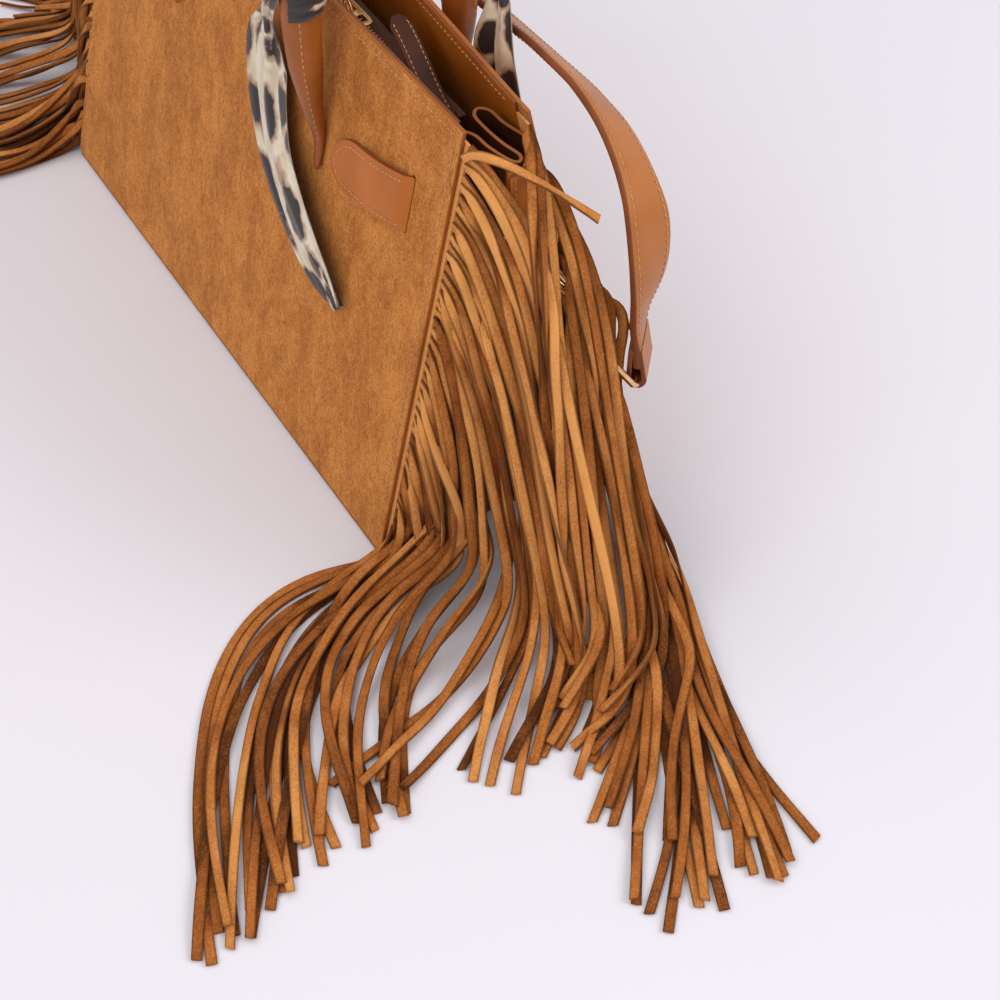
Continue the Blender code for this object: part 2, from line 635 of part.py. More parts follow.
def comb(sign, top):
    """Half a zip's chain: a cord along the tape's edge with teeth that reach between those of the other half."""
    outline = [(TEETH_HALF_L, 1.6), (-TEETH_HALF_L, 1.6)]
    count = int(2 * TEETH_HALF_L / TOOTH_PITCH)
    x = -TEETH_HALF_L + (0.25 * TOOTH_PITCH if sign < 0 else 0.75 * TOOTH_PITCH)
    outline[1] = (-TEETH_HALF_L, 1.6)
    near, reach = 1.0, -0.7
    outline.append((-TEETH_HALF_L, near))
    for i in range(count - 1):
        a = x + i * TOOTH_PITCH
        w = 0.20 * TOOTH_PITCH
        outline += [(a - w, near), (a - w * 0.8, reach), (a + w * 0.8, reach), (a + w, near)]
    outline.append((TEETH_HALF_L, near))
    low, high = top + 0.2 * MM - 0.1 * MM, top + 1.9 * MM
    rings = [[(px, sign * py * MM, z) for px, py in outline] for z in (low, high)]
    return loft(rings)


def make_slider(z):
    """Slider over the chain, with its puller hinged on a loop and lying along the zip."""
    low, thick = z + 1.2 * MM, 2.2 * MM
    outline = [(-6, -2.6), (-4, -4.2), (3, -4.6), (6, -3.4), (6, 3.4), (3, 4.6), (-4, 4.2), (-6, 2.6)]
    rings = [[(SLIDER_X + px * MM, py * MM, zz) for px, py in outline] for zz in (low, low + thick)]
    slider = add("zip_slider", *loft(rings), "gold", origin=(SLIDER_X, 0, low), smooth=False)
    arch = [(SLIDER_X + (-6.2 + 11.4 * t) * MM, 0, low + thick - 0.6 * MM + 4.8 * MM * math.sin(math.pi * t)) for t in np.linspace(0, 1, 9)]
    loop = add("slider_loop", *tube(arch, 0.8 * MM, 6), "gold")
    combine(slider, loop, "UNION")
    pin_z = low + thick + 1.2 * MM
    plate = ((-2.5, 2.6), (2.0, 3.2), (16.0, 3.6), (20.5, 2.4))
    outline = [(px, -h) for px, h in plate] + [(px, h) for px, h in reversed(plate)]
    rings = [[(SLIDER_X + px * MM, py * MM, pin_z + dz * MM) for px, py in outline] for dz in (-0.55, 0.55)]
    puller = add("zip_puller", *loft(rings), "gold", origin=(SLIDER_X - 2.0 * MM, 0, pin_z), smooth=False)
    slot = box((SLIDER_X - 1.3 * MM, -1.5 * MM, pin_z - 3 * MM), (SLIDER_X + 7.6 * MM, 1.5 * MM, pin_z + 3 * MM))
    cutter = add("puller_slot", *slot, "gold", smooth=False)
    combine(puller, cutter, "DIFFERENCE")


def make_zip_end(z):
    """Leather tab folded over the end of the zip, with its tail lifting clear of it."""
    line = smooth_curve(np.array([(131, 0, 0), (124, 0, 1.0), (114, 0.5, 6), (102, 1.5, 12), (90, 2.5, 17), (80, 3, 20)]) * MM, 9)
    outer, inner = [], []
    for x, y, dz in line:
        outer.append([(x, y + v * 6.5 * MM, z + 0.5 * MM + dz + 1.8 * MM) for v in (-1, 0, 1)])
        inner.append([(x, y + v * 6.5 * MM, z + 0.5 * MM + dz) for v in (-1, 0, 1)])
    add("zip_end_tab", *slab(outer, inner), "leather", sharp=60)


def ring_seat():
    """Right ring: the middle of its straight bar, the way it hangs, and the way its bar runs."""
    nose = gusset_line(GUSSET_TOP)[:, 0].max() + GUSSET_T / 2
    bar = np.array([nose + 0.4 * MM + TAB_T + RING_WIRE + BAR_CLEAR, 3.8 * MM, BAR_Z])
    tilt = math.radians(RING_TILT)
    return bar, np.array([math.sin(tilt), 0, -math.cos(tilt)]), np.array([0, 1.0, 0])


def hook_seat():
    """Right hook: the inside of its claw's top, and the way it hangs."""
    bar, down, _ = ring_seat()
    top_in = bar + down * (RING_DROP - RING_WIRE - HOOK_WIRE - 1.2 * MM)
    return top_in, unit(np.array(EYE_AT) - top_in)


def make_ring_and_hook(side, sign):
    """A leather tab on the gusset's middle fold holds a ring, and the strap's snap hook hangs on the ring."""
    bar, down, across = ring_seat()
    around = RING_WIRE + BAR_CLEAR
    profile_in, profile_out = [], []
    top = GUSSET_TOP - 2 * MM
    for z in (top, 0.5 * (top + BAR_Z)):
        profile_in.append((bar[0] - around, z))
        profile_out.append((bar[0] - around - TAB_T, z))
    for turn in np.radians(np.linspace(180, 360, 9)):
        profile_in.append((bar[0] + around * math.cos(turn), BAR_Z + around * math.sin(turn)))
        profile_out.append((bar[0] + (around + TAB_T) * math.cos(turn), BAR_Z + (around + TAB_T) * math.sin(turn)))
    for share, z in ((0.35, BAR_Z + 5 * MM), (0.8, BAR_Z + 10 * MM), (0.97, top - 1 * MM)):
        x = bar[0] + around - share * (2 * around - 0.3 * MM)
        profile_in.append((x, z))
        profile_out.append((x + TAB_T, z))
    section = profile_out + profile_in[::-1]
    rings = [[(x, bar[1] + v * TAB_W / 2, z) for x, z in section] for v in (-1, 1)]
    add(f"ring_tab_{side}", *mirrored(*loft(rings), sign), "leather", sharp=60)

    plan = [(-RING_HALF_W + 2 * MM, 0), (0, 0), (RING_HALF_W - 2 * MM, 0)]
    for turn in np.radians((-28, 0, 28, 56, 90, 124, 152, 180, 208)):
        plan.append((RING_HALF_W * math.cos(turn), 7 * MM + (RING_DROP - 7 * MM) * max(math.sin(turn), -0.95 * 0.5)))
    ring_line = np.array([bar + across * a + down * b for a, b in plan])
    ring_points, ring_faces = tube(smooth_curve(ring_line, 19, closed=True)[:-1], RING_WIRE, 8, closed=True, side=np.cross(across, down))
    pivot = bar * (sign, 1, 1)
    add(f"d_ring_{side}", *mirrored(ring_points, ring_faces, sign), "gold", origin=pivot)

    eye = np.array(EYE_AT)
    top_in, axis = hook_seat()
    normal = unit(across - np.dot(across, axis) * axis)
    lateral = np.cross(axis, normal)
    if lateral[2] < 0:
        lateral = -lateral

    def at(s, a, b=0.0):
        return top_in + axis * s + lateral * a + normal * b

    w = CLAW_HALF_W
    claw = [at(CLAW_LONG + 3 * MM, 0), at(CLAW_LONG - 3 * MM, -0.75 * w), at(CLAW_LONG - 9 * MM, -w), at(8 * MM, -w), at(2.4 * MM, -0.72 * w), at(0, 0), at(2.4 * MM, 0.72 * w), at(7 * MM, w)]
    claw_line = smooth_curve(claw, 17)
    thick = np.interp(np.arange(17), (0, 3, 13, 16), (2.6, 2.2, 2.0, 1.7)) * MM * HOOK_WIRE / (2 * MM)
    points, faces = tube(claw_line, thick, 8, side=normal)
    hook = add(f"snap_hook_{side}", *mirrored(points, faces, sign), "gold", origin=top_in * (sign, 1, 1))
    neck = CLAW_LONG
    profile = [(neck - 1.5 * MM, 4.6 * MM), (neck + 1 * MM, 5.4 * MM), (neck + 5 * MM, 5.4 * MM), (neck + 8 * MM, 4.2 * MM), (neck + 9 * MM, 2.0 * MM), (neck + 14.2 * MM, 2.0 * MM), (neck + 14.4 * MM, 3.6 * MM), (neck + 16.6 * MM, 3.2 * MM)]
    barrel = add(f"hook_barrel_{side}", *mirrored(*turned(profile, top_in, axis), sign), "gold")
    combine(hook, barrel, "UNION")
    gate_line = [at(s, w) for s in (neck - 2.6 * MM, neck - 3.8 * MM, neck - 5.6 * MM, 12 * MM, 7.7 * MM)]
    gate, gate_faces = tube(gate_line, np.array([0.8, 1.6, 1.7, 1.6, 1.4]) * MM, 8, side=normal)
    pivot = at(neck - GATE_PIN, w)
    add(f"hook_gate_{side}", *mirrored(gate, gate_faces, sign), "gold", origin=pivot * (sign, 1, 1))
    lug_line = [at(neck + 1 * MM, 3.4 * MM), at(neck - 0.4 * MM, 5.6 * MM), at(neck - 1.9 * MM, w * 0.98)]
    lug = add(f"gate_lug_{side}", *mirrored(*tube(smooth_curve(lug_line, 4), 1.6 * MM, 8, side=normal), sign), "gold")
    combine(hook, lug, "UNION")

    # The eye turns on the hook's stem and holds the folded end of the strap.
    strap_across = unit(np.cross((0, 0, 1), axis))
    collar_at = neck + 11.6 * MM
    bow_plan = []
    half = STRAP_W / 2 + 3.0 * MM
    length = np.linalg.norm(eye - at(collar_at, 0))
    reach = length / MM
    corners = ((0.5, 1.0), (0.84, 3.2), (1.0, 8.0), (1.0, reach - 1.6), (0.93, reach), (0.45, reach))
    for a, s in [(-half * a, s) for a, s in corners] + [(half * a, s) for a, s in reversed(corners)]:
        bow_plan.append(at(collar_at + s * MM, 0) + strap_across * a)
    gap = [at(collar_at, 0) + strap_across * 4.4 * MM, at(collar_at, 0) - strap_across * 4.4 * MM]
    loop_line = np.array([gap[1], *bow_plan, gap[0]])
    eye_obj = add(f"hook_eye_{side}", *mirrored(*tube(loop_line, 1.6 * MM, 6, side=np.cross(axis, strap_across)), sign), "gold")
    rings = []
    for s, r in ((-2.1, 2.35), (2.1, 2.35), (2.1, 5.2), (-2.1, 5.2)):
        turn = np.arange(12) * 2 * math.pi / 12
        side_a = strap_across
        side_b = np.cross(axis, side_a)
        rings.append([at(collar_at + s * MM, 0) + r * MM * (math.cos(t) * side_a + math.sin(t) * side_b) for t in turn])
    collar_points, collar_faces = loft(rings, ring=True)
    collar = add(f"eye_collar_{side}", *mirrored(collar_points, collar_faces, sign), "gold")
    fix_facing(collar)
    combine(eye_obj, collar, "UNION")


STRAP_RISE = (
    (229.0, 40.5, 124.0), (227.5, 40.5, 140.0), (231.0, 41.0, 162.0), (230.5, 41.5, 181.0), (224.5, 42.5, 198.0), (211.0, 44.0, 211.0),
    (191.0, 46.5, 218.0), (165.0, 49.5, 218.0), (132.0, 52.5, 213.0), (96.0, 56.0, 205.0), (60.0, 59.5, 197.0), (28.0, 62.0, 191.5), (0.0, 63.0, 190.0),
)
# Which way the strap's width points (x, y and z) at the eye, on the rise, past its top, and at the middle.
STRAP_TURN = ((0.10, -0.15, -0.36, -0.40, 0.0), (1.0, 0.80, 0.58, 0.55, 0.80), (-0.05, -0.40, -0.56, -0.62, -0.60))


def strap_frames():
    """Middle line of the shoulder strap from the right eye to the left one, and the direction across it."""
    half = np.array(STRAP_RISE) * MM
    line = smooth_curve(np.concatenate([half, (half * (-1, 1, 1))[::-1][1:]]), 37)
    tangents = directions(line)
    count = len(line)
    across = []
    at_eye = unit(np.cross((0, 0, 1), hook_seat()[1]))
    for k, tangent in enumerate(tangents):
        share = min(k, count - 1 - k) / (count // 2)
        mirror = np.array([1 if k <= count // 2 else -1, 1, 1])
        flat = [np.interp(share, (0, 0.25, 0.45, 0.6, 1), way) for way in STRAP_TURN]
        turned_in = np.interp(share, (0.03, 0.24), (1, 0))
        want = unit(flat) * (1 - turned_in) + at_eye * turned_in
        want = want * mirror
        across.append(unit(want - np.dot(want, tangent) * tangent))
    return line, across


def make_strap():
    line, across = strap_frames()
    tangents = directions(line)
    sections = []
    for point, tangent, wide in zip(line, tangents, across):
        thick = np.cross(tangent, wide)
        w, t = wide * STRAP_W / 2, thick * STRAP_T / 2
        sections.append([point - w - 0.55 * t, point - 0.94 * w - t, point + 0.94 * w - t, point + w - 0.55 * t, point + w + 0.55 * t, point + 0.94 * w + t, point - 0.94 * w + t, point - w + 0.55 * t])
    strap = add("shoulder_strap", *loft(sections), "leather", sharp=60)
    # Each end is folded round the bar of its eye.
    for side, sign in SIDES:
        frame = across[0]
        eye = np.array(EYE_AT)
        tangent = tangents[0]
        thick = unit(np.cross(tangent, frame))
        tangent = np.cross(frame, thick)
        clear, ply = 2.4 * MM, 2.2 * MM
        inner, outer = [], []
        for turn in np.radians(np.linspace(-200, 20, 12)):
            inner.append(eye + clear * (math.cos(turn) * thick + math.sin(turn) * tangent))
            outer.append(eye + (clear + ply) * (math.cos(turn) * thick + math.sin(turn) * tangent))
        up = 15 * MM
        inner = [eye - 0.9 * MM * thick + tangent * up, *inner, eye + 0.9 * MM * thick + tangent * up]
        outer = [eye - 3.0 * MM * thick + tangent * up, *outer, eye + 3.0 * MM * thick + tangent * up]
        section = np.array(outer + inner[::-1])
        rings = [section - frame * STRAP_W / 2, section + frame * STRAP_W / 2]
        fold = add(f"strap_fold_{side}", *mirrored(*loft(rings), sign), "leather")
        fix_facing(fold)
        combine(strap, fold, "UNION")


def main():
    for obj in list(bpy.data.objects):
        bpy.data.objects.remove(obj)
    make_body()
    for side, sign in SIDES:
        make_fringe("front", side, sign)
        make_fringe("back", side, sign)
        make_strap_tab(side, sign)
        make_ring_and_hook(side, sign)
    make_handle("handle_front", 1)
    make_handle("handle_back", -1)
    make_scarf("scarf_front", 1)
    make_scarf("scarf_back", -1)
    make_pocket()
    make_strap()


main()
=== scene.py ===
# %% [markdown]
# # A fringed suede tote
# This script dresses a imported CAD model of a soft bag. Every new piece sits where its node is and rides on the node's body.
# %% Frame and tools
import json
import math

import bmesh
import bpy
import numpy as np
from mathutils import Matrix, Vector, kdtree

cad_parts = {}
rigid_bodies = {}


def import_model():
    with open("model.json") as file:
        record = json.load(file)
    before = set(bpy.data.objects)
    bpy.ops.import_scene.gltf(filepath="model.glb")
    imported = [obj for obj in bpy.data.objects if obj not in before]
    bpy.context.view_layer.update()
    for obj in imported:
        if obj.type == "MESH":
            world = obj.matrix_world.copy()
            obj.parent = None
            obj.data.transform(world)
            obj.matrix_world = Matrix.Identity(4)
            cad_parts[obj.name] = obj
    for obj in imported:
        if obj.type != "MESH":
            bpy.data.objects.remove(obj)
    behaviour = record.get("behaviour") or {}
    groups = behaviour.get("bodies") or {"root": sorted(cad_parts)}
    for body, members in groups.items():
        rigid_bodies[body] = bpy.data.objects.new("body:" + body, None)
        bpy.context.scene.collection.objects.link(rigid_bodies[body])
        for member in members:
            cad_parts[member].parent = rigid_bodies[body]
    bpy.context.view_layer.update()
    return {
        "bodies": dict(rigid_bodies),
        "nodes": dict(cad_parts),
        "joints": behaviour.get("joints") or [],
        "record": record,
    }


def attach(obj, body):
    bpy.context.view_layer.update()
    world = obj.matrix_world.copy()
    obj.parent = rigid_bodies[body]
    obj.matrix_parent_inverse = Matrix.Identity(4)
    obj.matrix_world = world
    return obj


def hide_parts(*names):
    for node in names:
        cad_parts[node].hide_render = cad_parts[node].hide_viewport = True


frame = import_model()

MM = 0.001

# %% [markdown]
# The camera looks down at the bag's right end from half height, as in the photograph, through a long lens that keeps the
# perspective gentle. A long lens from a distance suits soft goods, because it doesn't stretch the parts near the frame's edge.
# %% Camera
AZIMUTH, ELEVATION = math.radians(60.4), math.radians(45.0)
CAMERA_AT, LENS = (0.9445, -0.4358, 0.891), 95.76


def make_camera():
    ahead = Vector((-math.sin(AZIMUTH) * math.cos(ELEVATION), math.cos(AZIMUTH) * math.cos(ELEVATION), -math.sin(ELEVATION)))
    data = bpy.data.cameras.new("camera")
    data.sensor_fit = "HORIZONTAL"
    data.lens = LENS
    camera = bpy.data.objects.new("camera", data)
    camera.location = CAMERA_AT
    camera.rotation_euler = ahead.to_track_quat("-Z", "Y").to_euler()
    bpy.context.scene.collection.objects.link(camera)
    bpy.context.scene.camera = camera
    return camera


camera = make_camera()
print("camera at", tuple(camera.location))

# %% [markdown]
# Product photographs of leather are lit by big soft sources in a bright room. Here those are a warm area lamp in front, a cooler
# one behind the right end that brightens the strips' backs, a weak one over the left end, and a pale world. The floor's colour,
# not more light, makes the pale background.
# %% Lamps and world
def add_lamp(name, place, target, size, power, colour=(1.0, 1.0, 1.0)):
    data = bpy.data.lights.new(name, "AREA")
    data.shape = "RECTANGLE"
    data.size, data.size_y = size
    data.energy = power
    data.color = colour
    lamp = bpy.data.objects.new(name, data)
    lamp.location = place
    lamp.rotation_euler = (Vector(target) - Vector(place)).to_track_quat("-Z", "Y").to_euler()
    bpy.context.scene.collection.objects.link(lamp)


add_lamp("key_lamp", (0.95, -1.45, 1.8), (0.15, 0.0, 0.1), (1.6, 1.2), 14.5, (1.0, 0.985, 0.97))
add_lamp("fill_lamp", (1.3, 1.5, 1.7), (0.25, 0.1, 0.1), (1.3, 1.3), 21.0, (0.97, 0.98, 1.0))
add_lamp("top_lamp", (-0.6, -0.5, 1.9), (0.05, -0.2, 0.0), (1.5, 1.5), 7.5)

world = bpy.data.worlds.new("studio")
bpy.context.scene.world = world
world.use_nodes = True
world.node_tree.nodes["Background"].inputs["Color"].default_value = (0.86, 0.85, 0.88, 1)
world.node_tree.nodes["Background"].inputs["Strength"].default_value = 0.72
bpy.context.scene.view_settings.view_transform = "Standard"
print(len(bpy.data.lights), "lamps")

# %% [markdown]
# Materials are node trees. Writing them as Python sums keeps them readable: Value wraps one socket, an operator on it adds the Math
# node, and Finish.node adds any other kind.
# %% Node maths
class Value:
    """A socket that can be added, multiplied and so on; each operation adds its Math node."""

    def __init__(self, finish, socket):
        self.finish, self.socket = finish, socket

    def maths(self, operation, *others):
        return self.finish.node("ShaderNodeMath", {"operation": operation}, dict(enumerate((self, *others))))

    def __add__(self, other):
        return self.maths("ADD", other)

    def __mul__(self, other):
        return self.maths("MULTIPLY", other)

    def __sub__(self, other):
        return self.maths("SUBTRACT", other)

    def __rsub__(self, other):
        return self.finish.node("ShaderNodeMath", {"operation": "SUBTRACT"}, {0: other, 1: self})

    def between(self, low, high):
        """0 below low, 1 above high, smooth in between."""
        return self.finish.node(
            "ShaderNodeMapRange", {"interpolation_type": "SMOOTHSTEP"}, {"Value": self, "From Min": low, "From Max": high}
        )


class Finish:
    """One material: node() adds a node and gives its first output, or the output that is named."""

    def __init__(self, name, roughness=0.6, metallic=0.0, **shader_values):
        self.material = bpy.data.materials.new(name)
        self.material.use_nodes = True
        self.tree = self.material.node_tree
        self.shader = self.tree.nodes["Principled BSDF"]
        self.shader.inputs["Roughness"].default_value = roughness
        self.shader.inputs["Metallic"].default_value = metallic
        for socket, value in shader_values.items():
            self.shader.inputs[socket.replace("_", " ")].default_value = value

    def node(self, kind, settings=None, inputs=None, output=0):
        made = self.tree.nodes.new(kind)
        for key, value in (settings or {}).items():
            setattr(made, key, value)
        for key, value in (inputs or {}).items():
            if isinstance(value, Value):
                self.tree.links.new(value.socket, made.inputs[key])
            else:
                made.inputs[key].default_value = value
        return Value(self, made.outputs[output])

    def feed(self, socket, value):
        self.tree.links.new(value.socket, self.shader.inputs[socket])

    def place(self, scale=(1.0, 1.0, 1.0), source="Object"):
        at = self.node("ShaderNodeTexCoord", output=source)
        return self.node("ShaderNodeMapping", inputs={"Vector": at, "Scale": scale})

    def noise(self, at, scale, detail=2.0, rough=0.5, distort=0.0):
        inputs = {"Vector": at, "Scale": scale, "Detail": detail, "Roughness": rough, "Distortion": distort}
        return self.node("ShaderNodeTexNoise", inputs=inputs)

    def mix(self, share, first, second):
        return self.node("ShaderNodeMix", {"data_type": "RGBA"}, {0: share, 6: first, 7: second}, output=2)

    def bump(self, height, strength, distance):
        bumped = self.node("ShaderNodeBump", inputs={"Height": height, "Strength": strength, "Distance": distance})
        self.feed("Normal", bumped)


def rgb(red, green, blue):
    """A colour picked as 0 to 255 on screen, as Blender's linear numbers."""
    return tuple(((c / 255 + 0.055) / 1.055) ** 2.4 if c > 10 else c / 3294.6 for c in (red, green, blue)) + (1.0,)


print("a screen grey of 128 is", round(rgb(128, 128, 128)[0], 3), "in linear light")


# %% [markdown]
# Suede is the flesh side of a hide: no grain, but a short nap that lies over in brushed patches. Clouds of a few centimetres and
# patches of a few millimetres shift it between two browns. Dark and pale specks on top are fibres in shadow and in light. A fine
# noise makes the nap's bump, and sheen gives the pale bloom at the edges.
# %% Suede
def suede_finish(name, light, middle, dark, pale):
    suede = Finish(
        name, roughness=0.92, Specular_IOR_Level=0.15, Sheen_Weight=0.18, Sheen_Roughness=0.5, Sheen_Tint=rgb(255, 214, 170)
    )
    at = suede.place((1.0, 1.0, 0.55))
    clouds = suede.noise(at, 40.0, 3.0, 0.6, 0.6)
    patches = suede.noise(at, 230.0, 4.0, 0.65, 1.0)
    nap = suede.noise(suede.place(), 1000.0, 2.0, 0.7)
    worn = (clouds * 0.50 + patches * 0.50).between(0.34, 0.66)
    colour = suede.mix(worn, middle, light)
    specks = suede.noise(suede.place(), 950.0, 3.0, 0.8)
    colour = suede.mix(specks.between(0.52, 0.66) * 0.72, colour, dark)
    colour = suede.mix((1 - specks).between(0.54, 0.68) * 0.62, colour, pale)
    colour = suede.mix((1 - patches).between(0.55, 0.72) * 0.16, colour, dark)
    suede.feed("Base Color", colour)
    suede.bump(nap * 0.6 + patches * 0.4, 0.5, 0.0005)
    return suede.material


def strip_finish():
    """Suede that follows each strip, from the coordinates and the tone that the strip was made with; the tone carries
    painted light and shade, and the strip's sides are painted darker.
    """
    bloom = rgb(255, 206, 150)
    suede = Finish(
        "strip_suede", roughness=0.95, Specular_IOR_Level=0.1, Sheen_Weight=0.20, Sheen_Roughness=0.45, Sheen_Tint=bloom
    )
    follow = suede.node("ShaderNodeAttribute", {"attribute_name": "along_strip"}, output=1)
    long_way = suede.node("ShaderNodeMapping", inputs={"Vector": follow, "Scale": (0.5, 1.0, 1.0)})
    patches = suede.noise(long_way, 130.0, 3.0, 0.6, 0.4)
    nap = suede.noise(follow, 1300.0, 2.0, 0.7)
    tone = suede.node("ShaderNodeAttribute", {"attribute_name": "tone"}, output=2)
    light, middle, dark = rgb(228, 158, 88), rgb(170, 98, 43), rgb(74, 37, 15)
    specks = suede.noise(follow, 750.0, 3.0, 0.8)
    share = tone * 0.9 + patches * 0.40 + nap * 0.5 + specks * 0.55 - 0.72
    colour = suede.mix(share.between(0.0, 0.5), dark, middle)
    colour = suede.mix(share.between(0.35, 0.9), colour, light)
    # Painted shade: the strip's sides and the borders of its faces are darkened.
    edge = suede.node("ShaderNodeAttribute", {"attribute_name": "edge"}, output=2).maths("ABSOLUTE")
    colour = suede.mix((edge + nap * 0.2).between(0.72, 1.16) * 0.8, colour, dark)
    suede.feed("Base Color", colour)
    suede.bump(nap * 0.5 + specks * 0.5, 0.75, 0.0006)
    return suede.material


SUEDE = suede_finish("suede_nap", rgb(206, 133, 61), rgb(166, 96, 36), rgb(118, 63, 22), rgb(224, 158, 90))
STRIP_SUEDE = strip_finish()
# The base takes a darker copy of the same suede: painted shade.
SUEDE_SHADE = suede_finish("base_suede", rgb(170, 106, 50), rgb(145, 86, 38), rgb(104, 60, 28), rgb(186, 124, 66))
print(SUEDE.name, STRIP_SUEDE.name, SUEDE_SHADE.name)


# %% [markdown]
# Smooth calf leather has a fine pebble in its grain and a soft shine. Cut edges are painted, and the paint dries a little darker
# and rounder.
# %% Leather
def leather_finish(name, light, dark, roughness=0.46, pebble=0.22):
    leather = Finish(name, roughness=roughness, Specular_IOR_Level=0.30)
    at = leather.place()
    clouds = leather.noise(at, 22.0, 3.0, 0.55, 0.3)
    grain = leather.node("ShaderNodeTexVoronoi", {"feature": "F1"}, {"Vector": at, "Scale": 1100.0, "Randomness": 1.0})
    creases = leather.noise(at, 320.0, 3.0, 0.6)
    leather.feed("Base Color", leather.mix(clouds.between(0.32, 0.68), dark, light))
    leather.feed("Roughness", clouds * 0.12 + creases * 0.10 + (roughness - 0.11))
    leather.bump(grain * 0.5 + creases * 0.5, pebble, 0.0003)
    return leather.material


TAN_LEATHER = leather_finish("tan_leather", rgb(190, 107, 34), rgb(173, 93, 26))
HANDLE_LEATHER = leather_finish("handle_leather", rgb(162, 92, 36), rgb(142, 77, 29), roughness=0.36)
STRAP_LEATHER = leather_finish("strap_leather", rgb(186, 114, 54), rgb(169, 99, 43), roughness=0.42)
BROWN_LEATHER = leather_finish("brown_leather", rgb(84, 43, 20), rgb(62, 31, 14), roughness=0.38)
LINING_LEATHER = leather_finish("lining_leather", rgb(70, 38, 20), rgb(48, 26, 14), roughness=0.55)
EDGE_PAINT = leather_finish("edge_paint", rgb(140, 74, 34), rgb(114, 58, 26), roughness=0.35, pebble=0.05)
PALE_EDGE = leather_finish("pale_edge", rgb(168, 98, 44), rgb(146, 82, 36), roughness=0.5, pebble=0.08)
print(len(bpy.data.materials), "suedes, leathers and edges")


# %% [markdown]
# Thread, zip tape, gilt metal and printed silk are the small finishes. The silk's print follows the cloth, so it reads the scarf's
# own UV map, laid out in metres: one Voronoi gives a spot for each cell, noise breaks its outline, and its heart stays brown.
# %% Thread, metal and silk
def thread_finish():
    thread = Finish("thread", roughness=0.7)
    twist = thread.noise(thread.place(), 1400.0, 1.0)
    thread.feed("Base Color", thread.mix(twist.between(0.3, 0.7), rgb(176, 122, 74), rgb(214, 168, 118)))
    return thread.material


def gilt_finish():
    gilt = Finish("pale_gilt", roughness=0.2, metallic=1.0)
    at = gilt.place()
    wear = gilt.noise(at, 260.0, 3.0, 0.6)
    gilt.feed("Base Color", gilt.mix(wear.between(0.35, 0.7), rgb(238, 203, 150), rgb(222, 176, 118)))
    gilt.feed("Roughness", wear * 0.16 + 0.12)
    gilt.bump(gilt.noise(at, 1500.0, 1.0), 0.05, 0.0001)
    return gilt.material


def tape_finish():
    tape = Finish("zip_tape_weave", roughness=0.8)
    bands = {"wave_type": "BANDS", "bands_direction": "X"}
    ribs = tape.node("ShaderNodeTexWave", bands, {"Vector": tape.place(), "Scale": 320.0, "Distortion": 0.4})
    tape.feed("Base Color", tape.mix(ribs, rgb(58, 34, 20), rgb(92, 56, 34)))
    tape.bump(ribs, 0.5, 0.0003)
    return tape.material


def silk_finish():
    silk = Finish("printed_silk", roughness=0.42, Specular_IOR_Level=0.5, Sheen_Weight=0.25, Sheen_Roughness=0.3)
    cloth = silk.place(source="UV")
    wander = silk.node("ShaderNodeTexNoise", {}, {"Vector": cloth, "Scale": 70.0, "Detail": 3.0}, output=1)
    shifted = silk.node("ShaderNodeVectorMath", {"operation": "MULTIPLY_ADD"}, {0: wander, 1: (0.010, 0.010, 0.0), 2: cloth})
    long_way = silk.node("ShaderNodeMapping", inputs={"Vector": shifted, "Scale": (1.25, 0.85, 1.0)})
    cells = silk.node("ShaderNodeTexVoronoi", {"feature": "F1"}, {"Vector": long_way, "Scale": 50.0, "Randomness": 0.6})
    torn = silk.noise(cloth, 130.0, 2.0, 0.5)
    size = silk.noise(cloth, 45.0, 1.0)
    across = silk.node("ShaderNodeSeparateXYZ", inputs={"Vector": cloth}, output=0)
    # The end that is wound round the handle lies beyond 1.2 m in the UV map, and carries the scarf's darker border.
    edge = cells + torn * 0.26 + size * 0.30 - across.between(1.0, 1.1) * 0.13
    spot = 1 - edge.between(0.73, 0.79)
    heart = 1 - (cells + torn * 0.25).between(0.20, 0.30)
    rim = 1 - edge.between(0.77, 0.90)
    ground = silk.mix(silk.noise(cloth, 90.0, 2.0).between(0.4, 0.7), rgb(236, 225, 203), rgb(214, 196, 164))
    colour = silk.mix(rim * 0.75, ground, rgb(150, 92, 58))
    colour = silk.mix(spot, colour, rgb(30, 27, 36))
    colour = silk.mix(heart * spot * size.between(0.58, 0.64), colour, rgb(96, 58, 34))
    bands = {"wave_type": "BANDS", "bands_direction": "DIAGONAL"}
    twill = silk.node("ShaderNodeTexWave", bands, {"Vector": cloth, "Scale": 900.0, "Distortion": 0.3})
    colour = silk.mix(twill * 0.14, colour, rgb(150, 132, 108))
    silk.feed("Base Color", colour)
    silk.bump(twill, 0.35, 0.0002)
    return silk.material


THREAD, GILT, TAPE, SILK = thread_finish(), gilt_finish(), tape_finish(), silk_finish()
print(len(bpy.data.materials), "materials")

# %% [markdown]
# A soft bag is mostly sheets and cords, so a few helpers carry the work: a smooth curve through a few points, a loft through
# sections, a sheet with thickness between two grids, and one function that makes the mesh and turns its faces outwards.
# %% Shape helpers
def unit(v):
    v = np.asarray(v, float)
    return v / np.linalg.norm(v)


def run_along(line):
    """How far along the line each of its points lies."""
    return np.concatenate([[0], np.cumsum(np.linalg.norm(np.diff(line, axis=0), axis=1))])


def spaced(line, count, end=None):
    """The line again as evenly spaced points, cut at the given length."""
    along = run_along(line)
    want = np.linspace(0, along[-1] if end is None else min(end, along[-1]), count)
    return np.stack([np.interp(want, along, line[:, k]) for k in range(line.shape[1])], axis=1)


